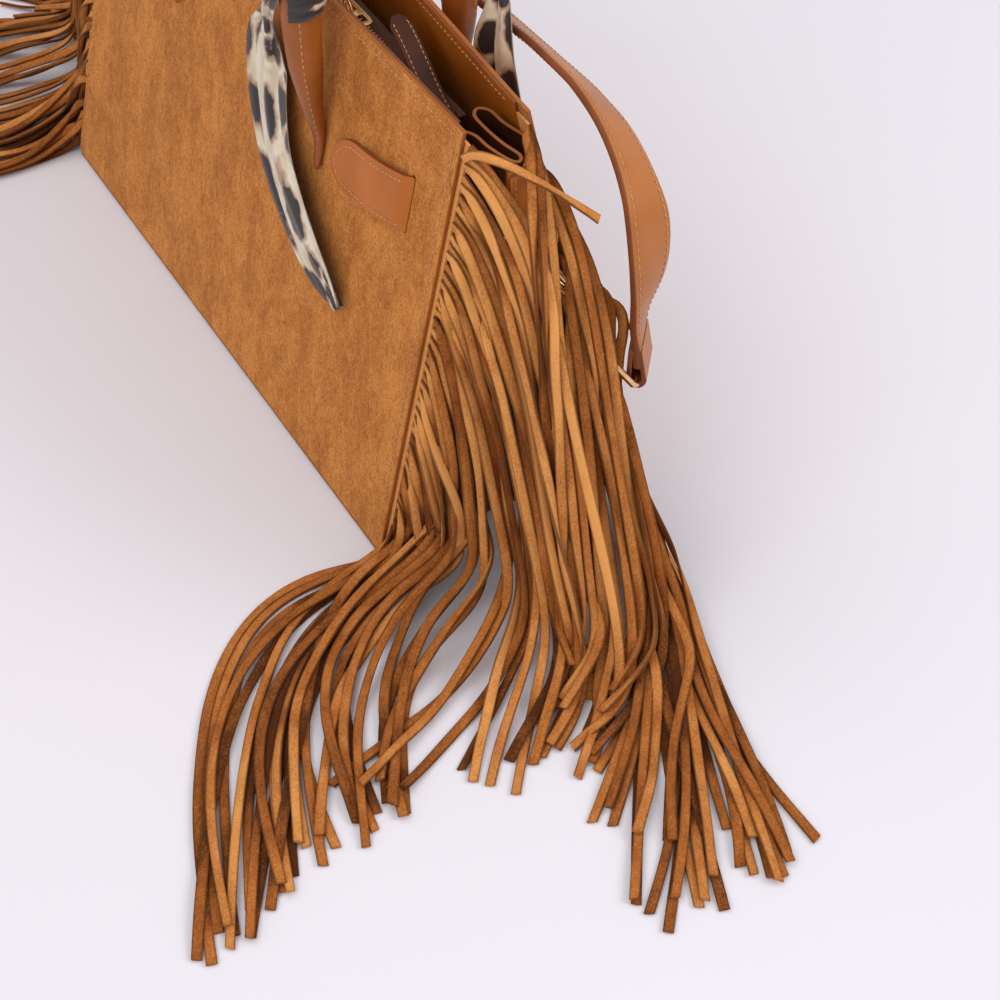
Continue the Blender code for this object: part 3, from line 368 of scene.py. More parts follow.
def smooth_curve(points, count, closed=False):
    points = np.asarray(points, float)
    if closed:
        padded = np.concatenate([points[-1:], points, points[:2]])
    else:
        padded = np.concatenate([[2 * points[0] - points[1]], points, [2 * points[-1] - points[-2]]])
    p0, p1, p2, p3 = (padded[i : len(padded) - 3 + i][:, None] for i in range(4))
    t = np.linspace(0, 1, 16, endpoint=False)[None, :, None]
    fine = 0.5 * (2 * p1 + (p2 - p0) * t + (2 * p0 - 5 * p1 + 4 * p2 - p3) * t**2 + (3 * p1 - p0 - 3 * p2 + p3) * t**3)
    return spaced(np.concatenate([fine.reshape(-1, points.shape[1]), padded[-2:-1]]), count)


def whole_curve(half, count):
    """A smooth curve through a right half, which ends on the middle plane, and its mirror image."""
    return smooth_curve(np.concatenate([half, (half * (-1, 1, 1))[::-1][1:]]), count)


def directions(line, closed=False):
    step = np.roll(line, -1, axis=0) - np.roll(line, 1, axis=0) if closed else np.gradient(line, axis=0)
    return step / np.linalg.norm(step, axis=1)[:, None]


def loft(sections, ring=False, start=0):
    """Points and faces through sections of equal count: capped at both ends, or closed into a ring."""
    sections = np.asarray(sections, float)
    count, sides, _ = sections.shape
    rows = np.arange(count if ring else count - 1)[:, None] * sides
    nexts = (np.arange(count if ring else count - 1)[:, None] + 1) % count * sides
    j = np.arange(sides)[None]
    k = (j + 1) % sides
    faces = (np.stack([rows + j, rows + k, nexts + k, nexts + j], axis=-1).reshape(-1, 4) + start).tolist()
    if not ring:
        faces.append([start + s for s in range(sides)][::-1])
        faces.append([start + (count - 1) * sides + s for s in range(sides)])
    return sections.reshape(-1, 3), faces


def slab(outer, inner):
    """A closed sheet between two grids of points, and the number of its faces that aren't its rim."""
    outer, inner = np.asarray(outer, float), np.asarray(inner, float)
    rows, cols, _ = outer.shape
    i, j = np.meshgrid(np.arange(rows - 1), np.arange(cols - 1), indexing="ij")
    a = (i * cols + j).reshape(-1)
    top = np.stack([a, a + 1, a + cols + 1, a + cols], axis=1)
    back = rows * cols
    faces = top.tolist() + (top[:, ::-1] + back).tolist()
    rim = [*range(cols), *(i * cols + cols - 1 for i in range(1, rows)), *((rows - 1) * cols + j for j in range(cols - 2, -1, -1))]
    rim += [i * cols for i in range(rows - 2, 0, -1)]
    faces += [(b, a, back + a, back + b) for a, b in zip(rim, rim[1:] + rim[:1])]
    return np.concatenate([outer.reshape(-1, 3), inner.reshape(-1, 3)]), faces, 2 * len(top)


def tube(line, radius, sides=16, closed=False, side=(0, 1, 0)):
    """A round or oval tube along the line; radius is one value, or one (across, through) pair for each point."""
    line = np.asarray(line, float)
    radius = np.broadcast_to(np.asarray(radius, float).reshape(-1, 1) if np.ndim(radius) < 2 else radius, (len(line), 2))
    sections, across = [], np.asarray(side, float)
    turn = np.arange(sides) * 2 * math.pi / sides
    for point, tangent, (ra, rb) in zip(line, directions(line, closed), radius):
        across = unit(across - np.dot(across, tangent) * tangent)
        sections.append(point + np.outer(np.cos(turn) * rb, across) + np.outer(np.sin(turn) * ra, np.cross(tangent, across)))
    return loft(sections, ring=closed)


def select_only(obj):
    bpy.ops.object.select_all(action="DESELECT")
    obj.select_set(True)
    bpy.context.view_layer.objects.active = obj


def make_piece(name, points, faces, materials, sharp=40.0, rim_from=None, uv=None):
    """A mesh piece with its faces outwards; from face number rim_from on, faces take the second material."""
    mesh = bpy.data.meshes.new(name)
    mesh.from_pydata(np.asarray(points, float).tolist(), [], [list(map(int, f)) for f in faces])
    obj = bpy.data.objects.new(name, mesh)
    bpy.context.scene.collection.objects.link(obj)
    for material in materials if isinstance(materials, (list, tuple)) else [materials]:
        mesh.materials.append(material)
    if rim_from is not None:
        numbers = np.zeros(len(mesh.polygons), np.int32)
        numbers[rim_from:] = 1
        mesh.polygons.foreach_set("material_index", numbers)
    if uv is not None:
        layer = mesh.uv_layers.new(name="cloth")
        corners = np.empty(len(mesh.loops), np.int32)
        mesh.loops.foreach_get("vertex_index", corners)
        layer.data.foreach_set("uv", np.asarray(uv, float)[corners].reshape(-1))
    shape = bmesh.new()
    shape.from_mesh(mesh)
    bmesh.ops.recalc_face_normals(shape, faces=shape.faces)
    shape.to_mesh(mesh)
    shape.free()
    select_only(obj)
    bpy.ops.object.shade_smooth_by_angle(angle=math.radians(sharp))
    return obj


def apply_modifier(obj, kind, **settings):
    change = obj.modifiers.new(kind.lower(), kind)
    for key, value in settings.items():
        setattr(change, key, value)
    select_only(obj)
    bpy.ops.object.modifier_apply(modifier=change.name)


def soften(obj, width, segments=2):
    """Rounds the hard edges of a finished sheet, as cutting and painting do."""
    hard = math.radians(50)
    apply_modifier(obj, "BEVEL", width=width, segments=segments, limit_method="ANGLE", angle_limit=hard, harden_normals=False)
    bpy.ops.object.shade_smooth_by_angle(angle=hard)


def dress(obj, nodes=(), body="bag"):
    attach(obj, body)
    if nodes:
        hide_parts(*nodes)
    print(obj.name, len(obj.data.polygons), "faces")
    return obj


def mirrored(points, side):
    return np.asarray(points, float) * (side, 1, 1)


SIDES = (("right", 1), ("left", -1))
print("a curve over a step of 1 by 1 is", round(run_along(smooth_curve([(0, 0, 0), (1, 1, 0), (2, 0, 0)], 50))[-1], 3), "long")

# %% [markdown]
# Stitches are real shapes here: short fat threads that dip into the leather at both ends. One stitch of a few faces is copied along
# a line, because a painted row of dashes has no light side and dark side.
# %% Stitches
STITCH_SECTION = ((1, 0), (0.5, 0.8), (-0.5, 0.8), (-1, 0), (0, -0.6))


def stitch_shapes(line, outward, start, pitch, length, thick):
    """Points and faces of stitches along the line; outward gives the direction away from the surface at each of its points."""
    along = run_along(line)
    points, faces = [], []
    for middle in np.arange(pitch / 2, along[-1] - pitch / 3, pitch):
        places = [middle + s * length / 2 for s in (-1, -0.45, 0.45, 1)]
        spots = [np.array([np.interp(place, along, line[:, k]) for k in range(3)]) for place in places]
        up = unit([np.interp(middle, along, outward[:, k]) for k in range(3)])
        ahead = unit(spots[-1] - spots[0])
        side = np.cross(ahead, up)
        sections = []
        for spot, lift, size in zip(spots, (-0.5, 0.35, 0.35, -0.5), (0.5, 1.0, 1.0, 0.5)):
            ring = [spot + up * thick * (lift + b * size * 0.7) + side * thick * a * size * 0.8 for a, b in STITCH_SECTION]
            sections.append(ring)
        more, quads = loft(sections, start=start + len(points))
        points += more.tolist()
        faces += quads
    return points, faces


def stitch_rows(name, rows, **sizes):
    """One piece of thread from several (line, outward) rows."""
    points, faces = [], []
    for line, outward in rows:
        more, quads = stitch_shapes(np.asarray(line, float), np.asarray(outward, float), len(points), **sizes)
        points += more
        faces += quads
    return make_piece(name, points, faces, THREAD, sharp=70)


print("a stitch is a loft of four rings with", len(STITCH_SECTION), "corners")

# %% [markdown]
# The body is two suede panels that lean together towards the mouth and swell a little in the middle, each backed by smooth leather.
# A bowed grid with thickness gives that in one go. The panels also ripple by less than a millimetre, since suede on a soft
# board never lies quite flat.
# %% Measures of the body
HALF_W, HEIGHT, BASE_HALF_D, MOUTH_HALF_D = 175.0 * MM, 227.0 * MM, 63.5 * MM, 16.0 * MM
SUEDE_T, FACING_T, BASE_T, GAP = 2.0 * MM, 1.2 * MM, 3.0 * MM, 0.3 * MM
HEADER_IN, GUSSET_T, GUSSET_TOP, GUSSET_SET = 8.0 * MM, 1.8 * MM, 214.0 * MM, 4.8 * MM
SLIT_X, SLIT_Z = 147.0 * MM, 175.0 * MM
LOW = BASE_T + GAP


def bow(x, z):
    span = np.clip(1 - (np.asarray(x) / HALF_W) ** 2, 0, 1)
    rise = np.clip(np.asarray(z) / HEIGHT, 0, 1)
    return 4.0 * MM * span**1.5 * (0.35 * np.sin(math.pi * rise) + rise)


def wall_y(x, z, inwards=0.0):
    """Distance of a panel's outer face from the middle plane of the bag, less the given depth."""
    return BASE_HALF_D + (MOUTH_HALF_D - BASE_HALF_D) * np.asarray(z) / HEIGHT + bow(x, z) - inwards


def ripple(x, z):
    return 0.35 * MM * (np.sin(41 * x + 23 * z + 1.1) * np.sin(33 * z + 0.7) + 0.5 * np.sin(90 * x - 61 * z))


def top_sag(x):
    """The top edge dips a little between the handles."""
    return -1.6 * MM * np.clip(1 - (np.asarray(x) / (0.55 * HALF_W)) ** 2, 0, 1) ** 2


print("half depth at the base and in the middle of the mouth", BASE_HALF_D, round(float(wall_y(0, HEIGHT)), 4))

# %% [markdown]
# A panel is a sheet between two grids of points, so its rim can take the paler look of a cut edge. The slots for the strap ends
# are cut with a small rounded box that leans with the wall.
# %% Panels, facings and base
def make_panel(name, front):
    xs, zs = np.linspace(-HALF_W, HALF_W, 97), np.linspace(LOW, HEIGHT, 61)
    grids = []
    for depth in (0.0, SUEDE_T):
        grid = []
        for z in zs:
            share = (z - LOW) / (HEIGHT - LOW)
            soft = math.sin(math.pi * min(1.0, share * 1.02)) ** 0.5 if 0 < share < 1 else 0.0
            z_here = z + top_sag(xs) * share**3
            y = front * (wall_y(xs, z_here, depth) + ripple(xs, z) * soft * np.clip((1 - np.abs(xs) / HALF_W) * 12, 0, 1))
            grid.append(np.stack([xs, y, z_here], axis=1))
        grids.append(grid)
    points, faces, rim = slab(*grids)
    return make_piece(name, points, faces, [SUEDE, PALE_EDGE], rim_from=rim, sharp=50)


def cut_slits(panel):
    """An upright slot near each end of the front, where a strap end comes out."""
    slot_size, slot_round, lean = (3.4 * MM, 5.6 * MM, 29 * MM), 1.2 * MM, math.atan2(BASE_HALF_D - MOUTH_HALF_D, HEIGHT)
    for _, sign in SIDES:
        centre = (sign * SLIT_X, -float(wall_y(SLIT_X, SLIT_Z)), SLIT_Z)
        bpy.ops.object.select_all(action="DESELECT")
        bpy.ops.mesh.primitive_cube_add(size=1, location=centre, scale=slot_size)
        cutter = bpy.context.object
        bpy.ops.object.mode_set(mode="EDIT")
        bpy.ops.mesh.bevel(offset=slot_round, segments=3, affect="EDGES")
        bpy.ops.transform.rotate(value=lean, orient_axis="X", center_override=centre)
        bpy.ops.object.mode_set(mode="OBJECT")
        apply_modifier(panel, "BOOLEAN", operation="DIFFERENCE", object=cutter, solver="EXACT")
        bpy.data.objects.remove(cutter)


def make_facing(name, front):
    inner = HALF_W - HEADER_IN - GAP
    xs, zs = np.linspace(-inner, inner, 61), np.linspace(LOW, HEIGHT - 0.5 * MM, 31)
    grids = []
    for depth in (SUEDE_T + GAP, SUEDE_T + GAP + FACING_T):
        rows = []
        for z in zs:
            z_here = z + top_sag(xs) * ((z - LOW) / (HEIGHT - LOW)) ** 3
            rows.append(np.stack([xs, front * wall_y(xs, z_here, depth), z_here], axis=1))
        grids.append(rows)
    points, faces, rim = slab(*grids)
    return make_piece(name, points, faces, [TAN_LEATHER, EDGE_PAINT], rim_from=rim, sharp=50)


front_panel = make_panel("front_suede", -1)
soften(front_panel, 0.5 * MM)
cut_slits(front_panel)
dress(front_panel, ["front_panel"])
back_panel = make_panel("back_suede", 1)
soften(back_panel, 0.5 * MM)
dress(back_panel, ["back_panel"])
for label, front in (("front", -1), ("back", 1)):
    facing = dress(make_facing(f"{label}_lining", front), [f"{label}_facing"])


def make_base():
    bpy.ops.object.select_all(action="DESELECT")
    size = (2 * (HALF_W - 1 * MM), 2 * (BASE_HALF_D - 1 * MM), BASE_T)
    bpy.ops.mesh.primitive_cube_add(size=1, location=(0, 0, BASE_T / 2), scale=size)
    base = bpy.context.object
    base.name = "base_suede"
    bpy.ops.object.transform_apply(location=True, rotation=True, scale=True)
    bpy.ops.object.mode_set(mode="EDIT")
    bpy.ops.mesh.select_all(action="SELECT")
    bpy.ops.mesh.bevel(offset=1.3 * MM, segments=4, affect="EDGES")
    bpy.ops.object.mode_set(mode="OBJECT")
    base.data.materials.append(SUEDE_SHADE)
    bpy.ops.object.shade_smooth_by_angle(angle=math.radians(50))
    return dress(base, ["base_panel"])


make_base()


def seam_stitches():
    """Thread along the top edge and down both sides of each panel, a few millimetres in, and along the facing inside."""
    side_in, top_in, facing_in, proud = 4.6 * MM, 4.2 * MM, 5.5 * MM, 0.1 * MM
    rows = []
    for front in (-1, 1):
        for x in (-(HALF_W - side_in), HALF_W - side_in):
            z = np.linspace(LOW + 4 * MM, HEIGHT - 4 * MM, 60)
            line = np.stack([np.full(60, x), front * (wall_y(x, z) + proud), z], axis=1)
            rows.append((line, np.tile((0.0, front * 0.98, 0.2), (60, 1))))
        x = np.linspace(-(HALF_W - 5 * MM), HALF_W - 5 * MM, 120)
        z = HEIGHT - top_in + top_sag(x)
        line = np.stack([x, front * (wall_y(x, z) + proud), z], axis=1)
        rows.append((line, np.tile((0.0, front * 0.98, 0.2), (120, 1))))
        x = x[4:-4]
        z = HEIGHT - facing_in + top_sag(x)
        line = np.stack([x, front * (wall_y(x, z, SUEDE_T + GAP + FACING_T) - proud), z], axis=1)
        rows.append((line, np.tile((0.0, -front * 0.98, 0.2), (len(x), 1))))
    return stitch_rows("panel_stitches", rows, pitch=3.4 * MM, length=2.4 * MM, thick=0.34 * MM)


dress(seam_stitches())

# %% [markdown]
# Each end of the bag is a leather gusset, flat at the base and folded into an M at the mouth so that the bag can open. The fold
# is a plan curve that grows with height, so the sheet is lofted from plans. Its cut edge shows as a pale rim.
# %% Gussets
GUSSET_FOLDS = (
    (-1.0, 11.2), (-14.0, 8.6), (-24.0, 8.3), (-28.2, 4.6), (-24.0, 0.9), (-13.0, 1.4), (-1.0, 3.4), (9.5, 6.4),
    (13.2, 3.8), (9.5, 0.9), (-2.0, -1.6), (-12.0, -2.2), (-17.2, -5.8), (-12.5, -9.2), (-6.0, -9.8), (-1.0, -11.2),
)


def gusset_line(z, count=23):
    """Plan of the gusset at height z, from the back seam to the front one."""
    top = np.array(GUSSET_FOLDS) * MM
    reach = run_along(top)
    flat = (0.5 - reach / reach[-1]) * 2 * (BASE_HALF_D - GUSSET_SET)
    rise = z / HEIGHT
    now = BASE_HALF_D - GUSSET_SET + (MOUTH_HALF_D - BASE_HALF_D) * rise
    fold = math.sqrt(max(0.0, 1 - (now / (BASE_HALF_D - GUSSET_SET)) ** 2))
    x = HALF_W - GUSSET_T / 2 + (top[:, 0] + 1 * MM) * fold
    y = flat + (top[:, 1] * (MOUTH_HALF_D - GUSSET_SET) / (11.2 * MM) - flat) * rise
    return smooth_curve(np.stack([x, y], axis=1), count)


def make_gusset(side, sign):
    outer, inner = [], []
    for share in np.linspace(0, 1, 30) ** 1.35:
        z = LOW + share * (GUSSET_TOP - LOW)
        line = gusset_line(z, 140)
        tangent = directions(line)
        normal = np.stack([-tangent[:, 1], tangent[:, 0]], axis=1) * GUSSET_T / 2
        lift = np.full((140, 1), z)
        outer.append(np.hstack([line + normal, lift]))
        inner.append(np.hstack([line - normal, lift]))
    points, faces, rim = slab(outer, inner)
    gusset = make_piece(f"{side}_gusset_leather", mirrored(points, sign), faces, [BROWN_LEATHER, PALE_EDGE], rim_from=rim, sharp=60)
    soften(gusset, 0.45 * MM)
    return dress(gusset, [f"gusset_{side}"])


for side, sign in SIDES:
    make_gusset(side, sign)

# %% [markdown]
# The fringe is the look of this bag: four cut pieces, one in each side seam, with 45 strips each. A strip of suede leaves the seam
# on edge, twists flat as it falls, bends where it meets the floor and runs on along it. Combing them by hand would take days, and
# a rigid copy would look like a brush. So each strip starts on a guide that follows the photograph, and then all of them settle
# against each other, the floor, the bag and the strap's hardware.
# %% Fringe guides
# Sizes are in millimetres here, because the settling works in them. Strips leave the seam at ROOT_X.
STRIPS, POINTS, STRIP_L, STRIP_W, STRIP_T = 45, 66, 272.0, 4.5, 1.5
HEADER_LOW, HEADER_HIGH, ROOT_X = 7.0, 223.0, 177.2

# Tables by a strip's share of the seam, from the bottom up: where it ends on the floor (x, y), how far it leans out on its way
# down, how far it stands off the seam at the top, its first heading on the floor in degrees, how high it arches there, how far it
# drifts along the bag's depth, and how much that drift varies.
FRINGE_GUIDES = {
    "front": {
        "ends": (
            (0.0, 338, -229), (0.1, 335, -213), (0.2, 329, -196), (0.3, 319, -175), (0.4, 303, -153), (0.5, 287, -134),
            (0.58, 277, -118), (0.66, 270, -103), (0.72, 300, -96), (0.8, 330, -84), (0.9, 318, -76), (1.0, 300, -66),
        ),
        "lean": ((0.0, 0), (0.45, 4), (0.6, 14), (0.7, 44), (1.0, 74)),
        "stand": ((0.0, 7), (0.3, 17), (0.7, 30), (1.0, 40)),
        "first": ((0.0, -118), (0.15, -112), (0.35, -104), (0.5, -92), (0.7, -56), (1.0, -34)),
        "arch": ((0.0, 9), (0.3, 17), (0.6, 20), (1.0, 8)),
        "drift": ((0.0, 0), (0.5, -2), (0.84, 2), (0.93, 9), (1.0, 15)),
        "spread": ((0.0, 2), (1.0, 4)),
    },
    "back": {
        "ends": (
            (0.0, 402, -64), (0.1, 404, -42), (0.2, 408, -20), (0.3, 422, 4), (0.38, 410, 6), (0.46, 382, -26),
            (0.55, 364, -44), (0.65, 342, -50), (0.75, 320, -38), (0.88, 298, -28), (1.0, 280, -30),
        ),
        "lean": ((0.0, 4), (0.15, 24), (0.3, 48), (0.6, 54), (1.0, 44)),
        "stand": ((0.0, 12), (0.25, 34), (0.5, 54), (0.75, 54), (1.0, 46)),
        "first": ((0.0, -20), (0.4, -14), (0.6, -46), (1.0, -40)),
        "arch": ((0.0, 4), (0.5, 8), (1.0, 6)),
        "drift": ((0.0, -2), (0.3, -4), (0.45, -8), (0.6, -10), (0.8, -14), (1.0, -20)),
        "spread": ((0.0, 2), (0.4, 8), (0.65, 17), (1.0, 15)),
    },
}


def along_table(table, share, column=1):
    table = np.asarray(table, float)
    return float(np.interp(share, table[:, 0], table[:, column]))


def guide(bundle, i, rng):
    """Guide of strip i of the right side, in millimetres: root, fall, and run along the floor."""
    way = FRINGE_GUIDES[bundle]
    front = -1 if bundle == "front" else 1
    share = i / (STRIPS - 1)
    z = HEADER_LOW + (HEADER_HIGH - HEADER_LOW) * (i + 0.5) / STRIPS
    y = front * (float(wall_y(HALF_W, z * MM)) / MM - 3.0)
    stand = max(5.0, along_table(way["stand"], share) + rng.normal(0, 2.0 + 2.0 * share))
    drift = along_table(way["drift"], share) + along_table(way["spread"], share) * rng.uniform(-1, 1)
    drop = 0.34 * stand + 7
    points = [
        (ROOT_X - 3, y, z),
        (ROOT_X, y, z),
        (ROOT_X + 0.42 * stand, y + 0.3 * drift, z + 1.0),
        (ROOT_X + 0.8 * stand, y + 0.6 * drift, z - 0.28 * drop),
    ]
    lean = along_table(way["lean"], share) * rng.uniform(0.75, 1.2)
    foot = np.array([ROOT_X + stand + 3 + lean, y + drift])
    arch = max(2.0, along_table(way["arch"], share) * rng.uniform(0.6, 1.3))
    low = arch + 7
    if z - drop > low + 12:
        points.append((ROOT_X + stand, y + 0.75 * drift, z - drop))
        for part in (0.4, 0.75):
            x_here = ROOT_X + stand + 2 + lean * part + rng.normal(0, 1.5)
            y_here = y + drift * (0.75 + 0.25 * part) + rng.normal(0, 1.2)
            points.append((x_here, y_here, z - drop + (low - z + drop) * part))
    end = np.array([along_table(way["ends"], share, 1), along_table(way["ends"], share, 2)]) + rng.normal(0, 4.5, 2)
    first = math.radians(along_table(way["first"], share) + rng.normal(0, 4.0))
    reach = np.linalg.norm(end - foot)
    if z - drop > low - 4:
        points.append((*foot, low))
    wave, phase = rng.normal(0, 2.2), rng.uniform(0, 6.28)
    sideways = np.array([-(end - foot)[1], (end - foot)[0]]) / reach
    length = STRIP_L * rng.uniform(0.965, 1.035)
    tries = []
    for detour in np.linspace(0.15, 0.65, 11):
        # A wider detour uses up more of the strip before its end, so the one whose length fits is kept.
        turn = foot + detour * reach * np.array([math.cos(first), math.sin(first)])
        run = []
        for t in (0.14, 0.28, 0.42, 0.56, 0.7, 0.85, 1.0):
            spot = (1 - t) ** 2 * foot + 2 * t * (1 - t) * turn + t * t * end + sideways * wave * math.sin(phase + 5.5 * t)
            height = max(0.9, low * math.exp(-((t * reach / (34 + 1.2 * arch)) ** 2)))
            run.append((*spot, height))
        line = smooth_curve(points + run, 400)
        tries.append((abs(np.linalg.norm(np.diff(line, axis=0), axis=1).sum() - length), line))
    line = min(tries, key=lambda found: found[0])[1]
    extra = length - run_along(line)[-1]
    if extra > 0:
        ahead = unit(line[-1] - line[-12]) * (1, 1, 0)
        line = np.concatenate([line, line[-1] + np.linspace(0.05, 1, 40)[:, None] * ahead * extra])
    return spaced(line, POINTS, end=length)


print(4 * STRIPS, "guides for strips of", STRIP_L, "mm")


# %% [markdown]
# Settling is a small cloth-like simulation of points on strings. Each round pulls a strip gently towards its guide, lets it
# sink, parts it from its neighbours, evens out its bends, keeps it off what stands in its way, and restores its length. A strip
# is wide and thin, so hanging neighbours may come closer face to face than edge to edge: that distance is measured in an
# ellipsoid. On the floor each strip belongs to a layer of the pile, and where two of one layer cross, one climbs over the other.
# %% Settling the fringe
STRAP_RISE = (
    (229.0, 40.5, 124.0), (227.5, 40.5, 140.0), (231.0, 41.0, 162.0), (230.5, 41.5, 181.0), (224.5, 42.5, 198.0),
    (211.0, 44.0, 211.0), (191.0, 46.5, 218.0), (165.0, 49.5, 218.0), (132.0, 52.5, 213.0), (96.0, 56.0, 205.0),
    (60.0, 59.5, 197.0), (28.0, 62.0, 191.5), (0.0, 63.0, 190.0),
)
# Which way the strap's width points (x, y and z) at the eye, on the rise, past its top, and at the middle.
STRAP_TURN = ((0.10, -0.15, -0.36, -0.40, 0.0), (1.0, 0.80, 0.58, 0.55, 0.80), (-0.05, -0.40, -0.56, -0.62, -0.60))
# Rods that stand for the ring, the hook, its eye and the strap's end: both ends, and the radius.
HARDWARE = (
    ((193, 4, 186), (201, 4, 173), 5.5), ((199, 4, 176), (229, 40, 118), 8.0), ((216, 50, 116), (240, 30, 116), 6.5),
    ((219, 49, 124), (222, 48, 186), 5.0), ((238, 34, 124), (240, 35, 178), 5.0), ((229, 41, 124), (231, 41, 190), 5.0),
    ((222, 45, 190), (205, 46, 212), 9.0), ((232, 38, 184), (214, 37, 206), 5.0),
)
ROOM = np.array((3.0, 4.8, 5.0))  # what two hanging strips need between their middles along x, y and z
FLOOR_UP, BODY_END, BODY_TOP = 0.85, 177.4, 226
REACH, LAYERS = 5.2, 4


def part_neighbours(points, wide_up, heading, level, pairs):
    """Pushes apart points of different strips: by a strip's size where they hang, and where they lie by its width within one
    layer of the pile, or up and down between two layers."""
    a, b = pairs
    apart = points[b] - points[a]
    steep = 0.5 * (wide_up[a] + wide_up[b])[:, None]
    scaled = apart / ROOM
    distance = np.maximum(np.linalg.norm(scaled, axis=1), 1e-3)[:, None]
    hanging = scaled / distance * np.maximum(1 - distance, 0) * ROOM * 0.38
    beside = np.maximum(np.linalg.norm(apart[:, :2], axis=1), 1e-3)
    crossing = np.abs(heading[a, 0] * heading[b, 1] - heading[a, 1] * heading[b, 0]) > 0.16
    order = np.where((level[a] == level[b]) & crossing, 1, np.sign(level[b] - level[a]))
    lying = np.zeros_like(apart)
    lying[:, :2] = apart[:, :2] / beside[:, None] * (np.maximum(4.6 - beside, 0) * (order == 0) * 0.28)[:, None]
    lying[:, 2] = order * np.maximum(2.1 - apart[:, 2] * order, 0) * (beside < 4.7) * (np.abs(apart[:, 2]) < 5) * 0.38
    push = steep * hanging + (1 - steep) * lying
    near = np.abs(push).max(axis=1) > 0
    a, b, push = a[near], b[near], push[near]
    moved = np.zeros_like(points)
    for k in range(3):
        moved[:, k] = np.bincount(b, push[:, k], len(points)) - np.bincount(a, push[:, k], len(points))
    hits = np.bincount(a, minlength=len(points)) + np.bincount(b, minlength=len(points))
    return moved / np.maximum(1, 0.55 * hits)[:, None]


def keep_outside(points):
    """Keeps points on the floor, off the bag's body and off the strap's hardware."""
    points[:, 2] = np.maximum(points[:, 2], FLOOR_UP)
    x, y, z = points.T
    wall = wall_y(np.clip(x, -175, 175) * MM, np.clip(z, 0, 227) * MM) / MM + 0.9
    into_end, into_wall = BODY_END - x, wall - np.abs(y)
    inside = (into_end > 0) & (into_wall > 0) & (z < BODY_TOP)
    side_first = inside & (into_end < into_wall)
    x[side_first] = BODY_END
    other = inside & ~side_first
    y[other] = np.sign(y[other]) * wall[other]
    # The gusset's middle fold stands out of the end near the mouth.
    fold = (z > 150) & (z < 216) & (np.abs(y) < 11)
    nose = 178 + 12.5 * np.clip((z - 60) / 154, 0, 1) * np.exp(-(((y - 5) / 6.5) ** 2))
    x[:] = np.where(fold, np.maximum(x, nose), x)
    for start, end, radius in HARDWARE:
        start, end = np.array(start, float), np.array(end, float)
        along = np.clip((points - start) @ (end - start) / np.dot(end - start, end - start), 0, 1)[:, None]
        off = points - (start + along * (end - start))
        distance = np.maximum(np.linalg.norm(off, axis=1), 1e-3)
        near = distance < radius + 1.0
        points[near] += off[near] / distance[near, None] * (radius + 1.0 - distance[near])[:, None]


def search_tree(spots):
    tree = kdtree.KDTree(len(spots))
    for number, spot in enumerate(spots):
        tree.insert(spot, number)
    tree.balance()
    return tree


def near_pairs(spots, owner):
    """Numbers of points of different strips that are near enough to touch."""
    tree, first, second = search_tree(spots), [], []
    for number, spot in enumerate(spots):
        for _, other, _ in tree.find_range(spot, REACH):
            if other > number and owner[other] != owner[number]:
                first.append(number)
                second.append(other)
    return np.array(first, int), np.array(second, int)


def restore_lengths(strips, segment, start):
    """Draws each strip's neighbouring points back to their first distance; the points at its start stay where they are."""
    for _ in range(3):
        for parity in (0, 1):
            i = np.arange(parity, strips.shape[1] - 1, 2)
            gap = strips[:, i + 1] - strips[:, i]
            now = np.maximum(np.linalg.norm(gap, axis=2), 1e-6)
            fix = gap * ((now - segment[:, i]) / now)[..., None] * 0.5
            strips[:, i] += fix
            strips[:, i + 1] -= fix
        strips[:, : start.shape[1]] = start


def settle(strips, rounds, rng):
    """The strips after so many rounds; their first two points are held by the seam."""
    count, length, _ = strips.shape
    layers = [0, 2]
    while len(layers) < count:
        layers.append(int(rng.choice([layer for layer in range(LAYERS) if layer not in layers[-2:]])))
    level = np.repeat(layers, length)
    goal = strips.copy()
    segment = np.linalg.norm(np.diff(strips, axis=1), axis=2)
    owner = np.repeat(np.arange(count), length)
    held = 2
    for step in range(rounds):
        if step % 4 == 0:
            pairs = near_pairs(strips.reshape(-1, 3).tolist(), owner)
        tangent = np.gradient(strips, axis=1)
        steep = np.abs(tangent[..., 2]) / np.maximum(np.linalg.norm(tangent, axis=2), 1e-6)
        heading = (tangent[..., :2] / np.maximum(np.linalg.norm(tangent[..., :2], axis=2, keepdims=True), 1e-3)).reshape(-1, 2)
        start = strips[:, :held].copy()
        pull = 0.035 if step < rounds * 0.6 else 0.012
        strips += (goal - strips) * pull
        strips[..., 2] -= 0.12
        flat = strips.reshape(-1, 3)
        flat += part_neighbours(flat, np.clip(steep * 1.6 - 0.3, 0, 1).reshape(-1), heading, level, pairs)
        strips = flat.reshape(count, length, 3)
        strips[:, 1:-1] += 0.42 * (0.5 * (strips[:, :-2] + strips[:, 2:]) - strips[:, 1:-1])
        flat = strips.reshape(-1, 3)
        keep_outside(flat)
        strips = flat.reshape(count, length, 3)
        strips[:, :held] = start
        restore_lengths(strips, segment, start)
    for _ in range(9):
        # A last ironing takes out the kinks that neighbours pressed into a strip.
        midway = 0.5 * (strips[:, held - 1 : -2] + strips[:, held + 1 :])
        strips[:, held:-1] += np.array((0.5, 0.5, 0.3)) * (midway - strips[:, held:-1])
    flat = strips.reshape(-1, 3)
    keep_outside(flat)
    return flat.reshape(count, length, 3)


print(len(HARDWARE), "rods keep the strips off the hardware")
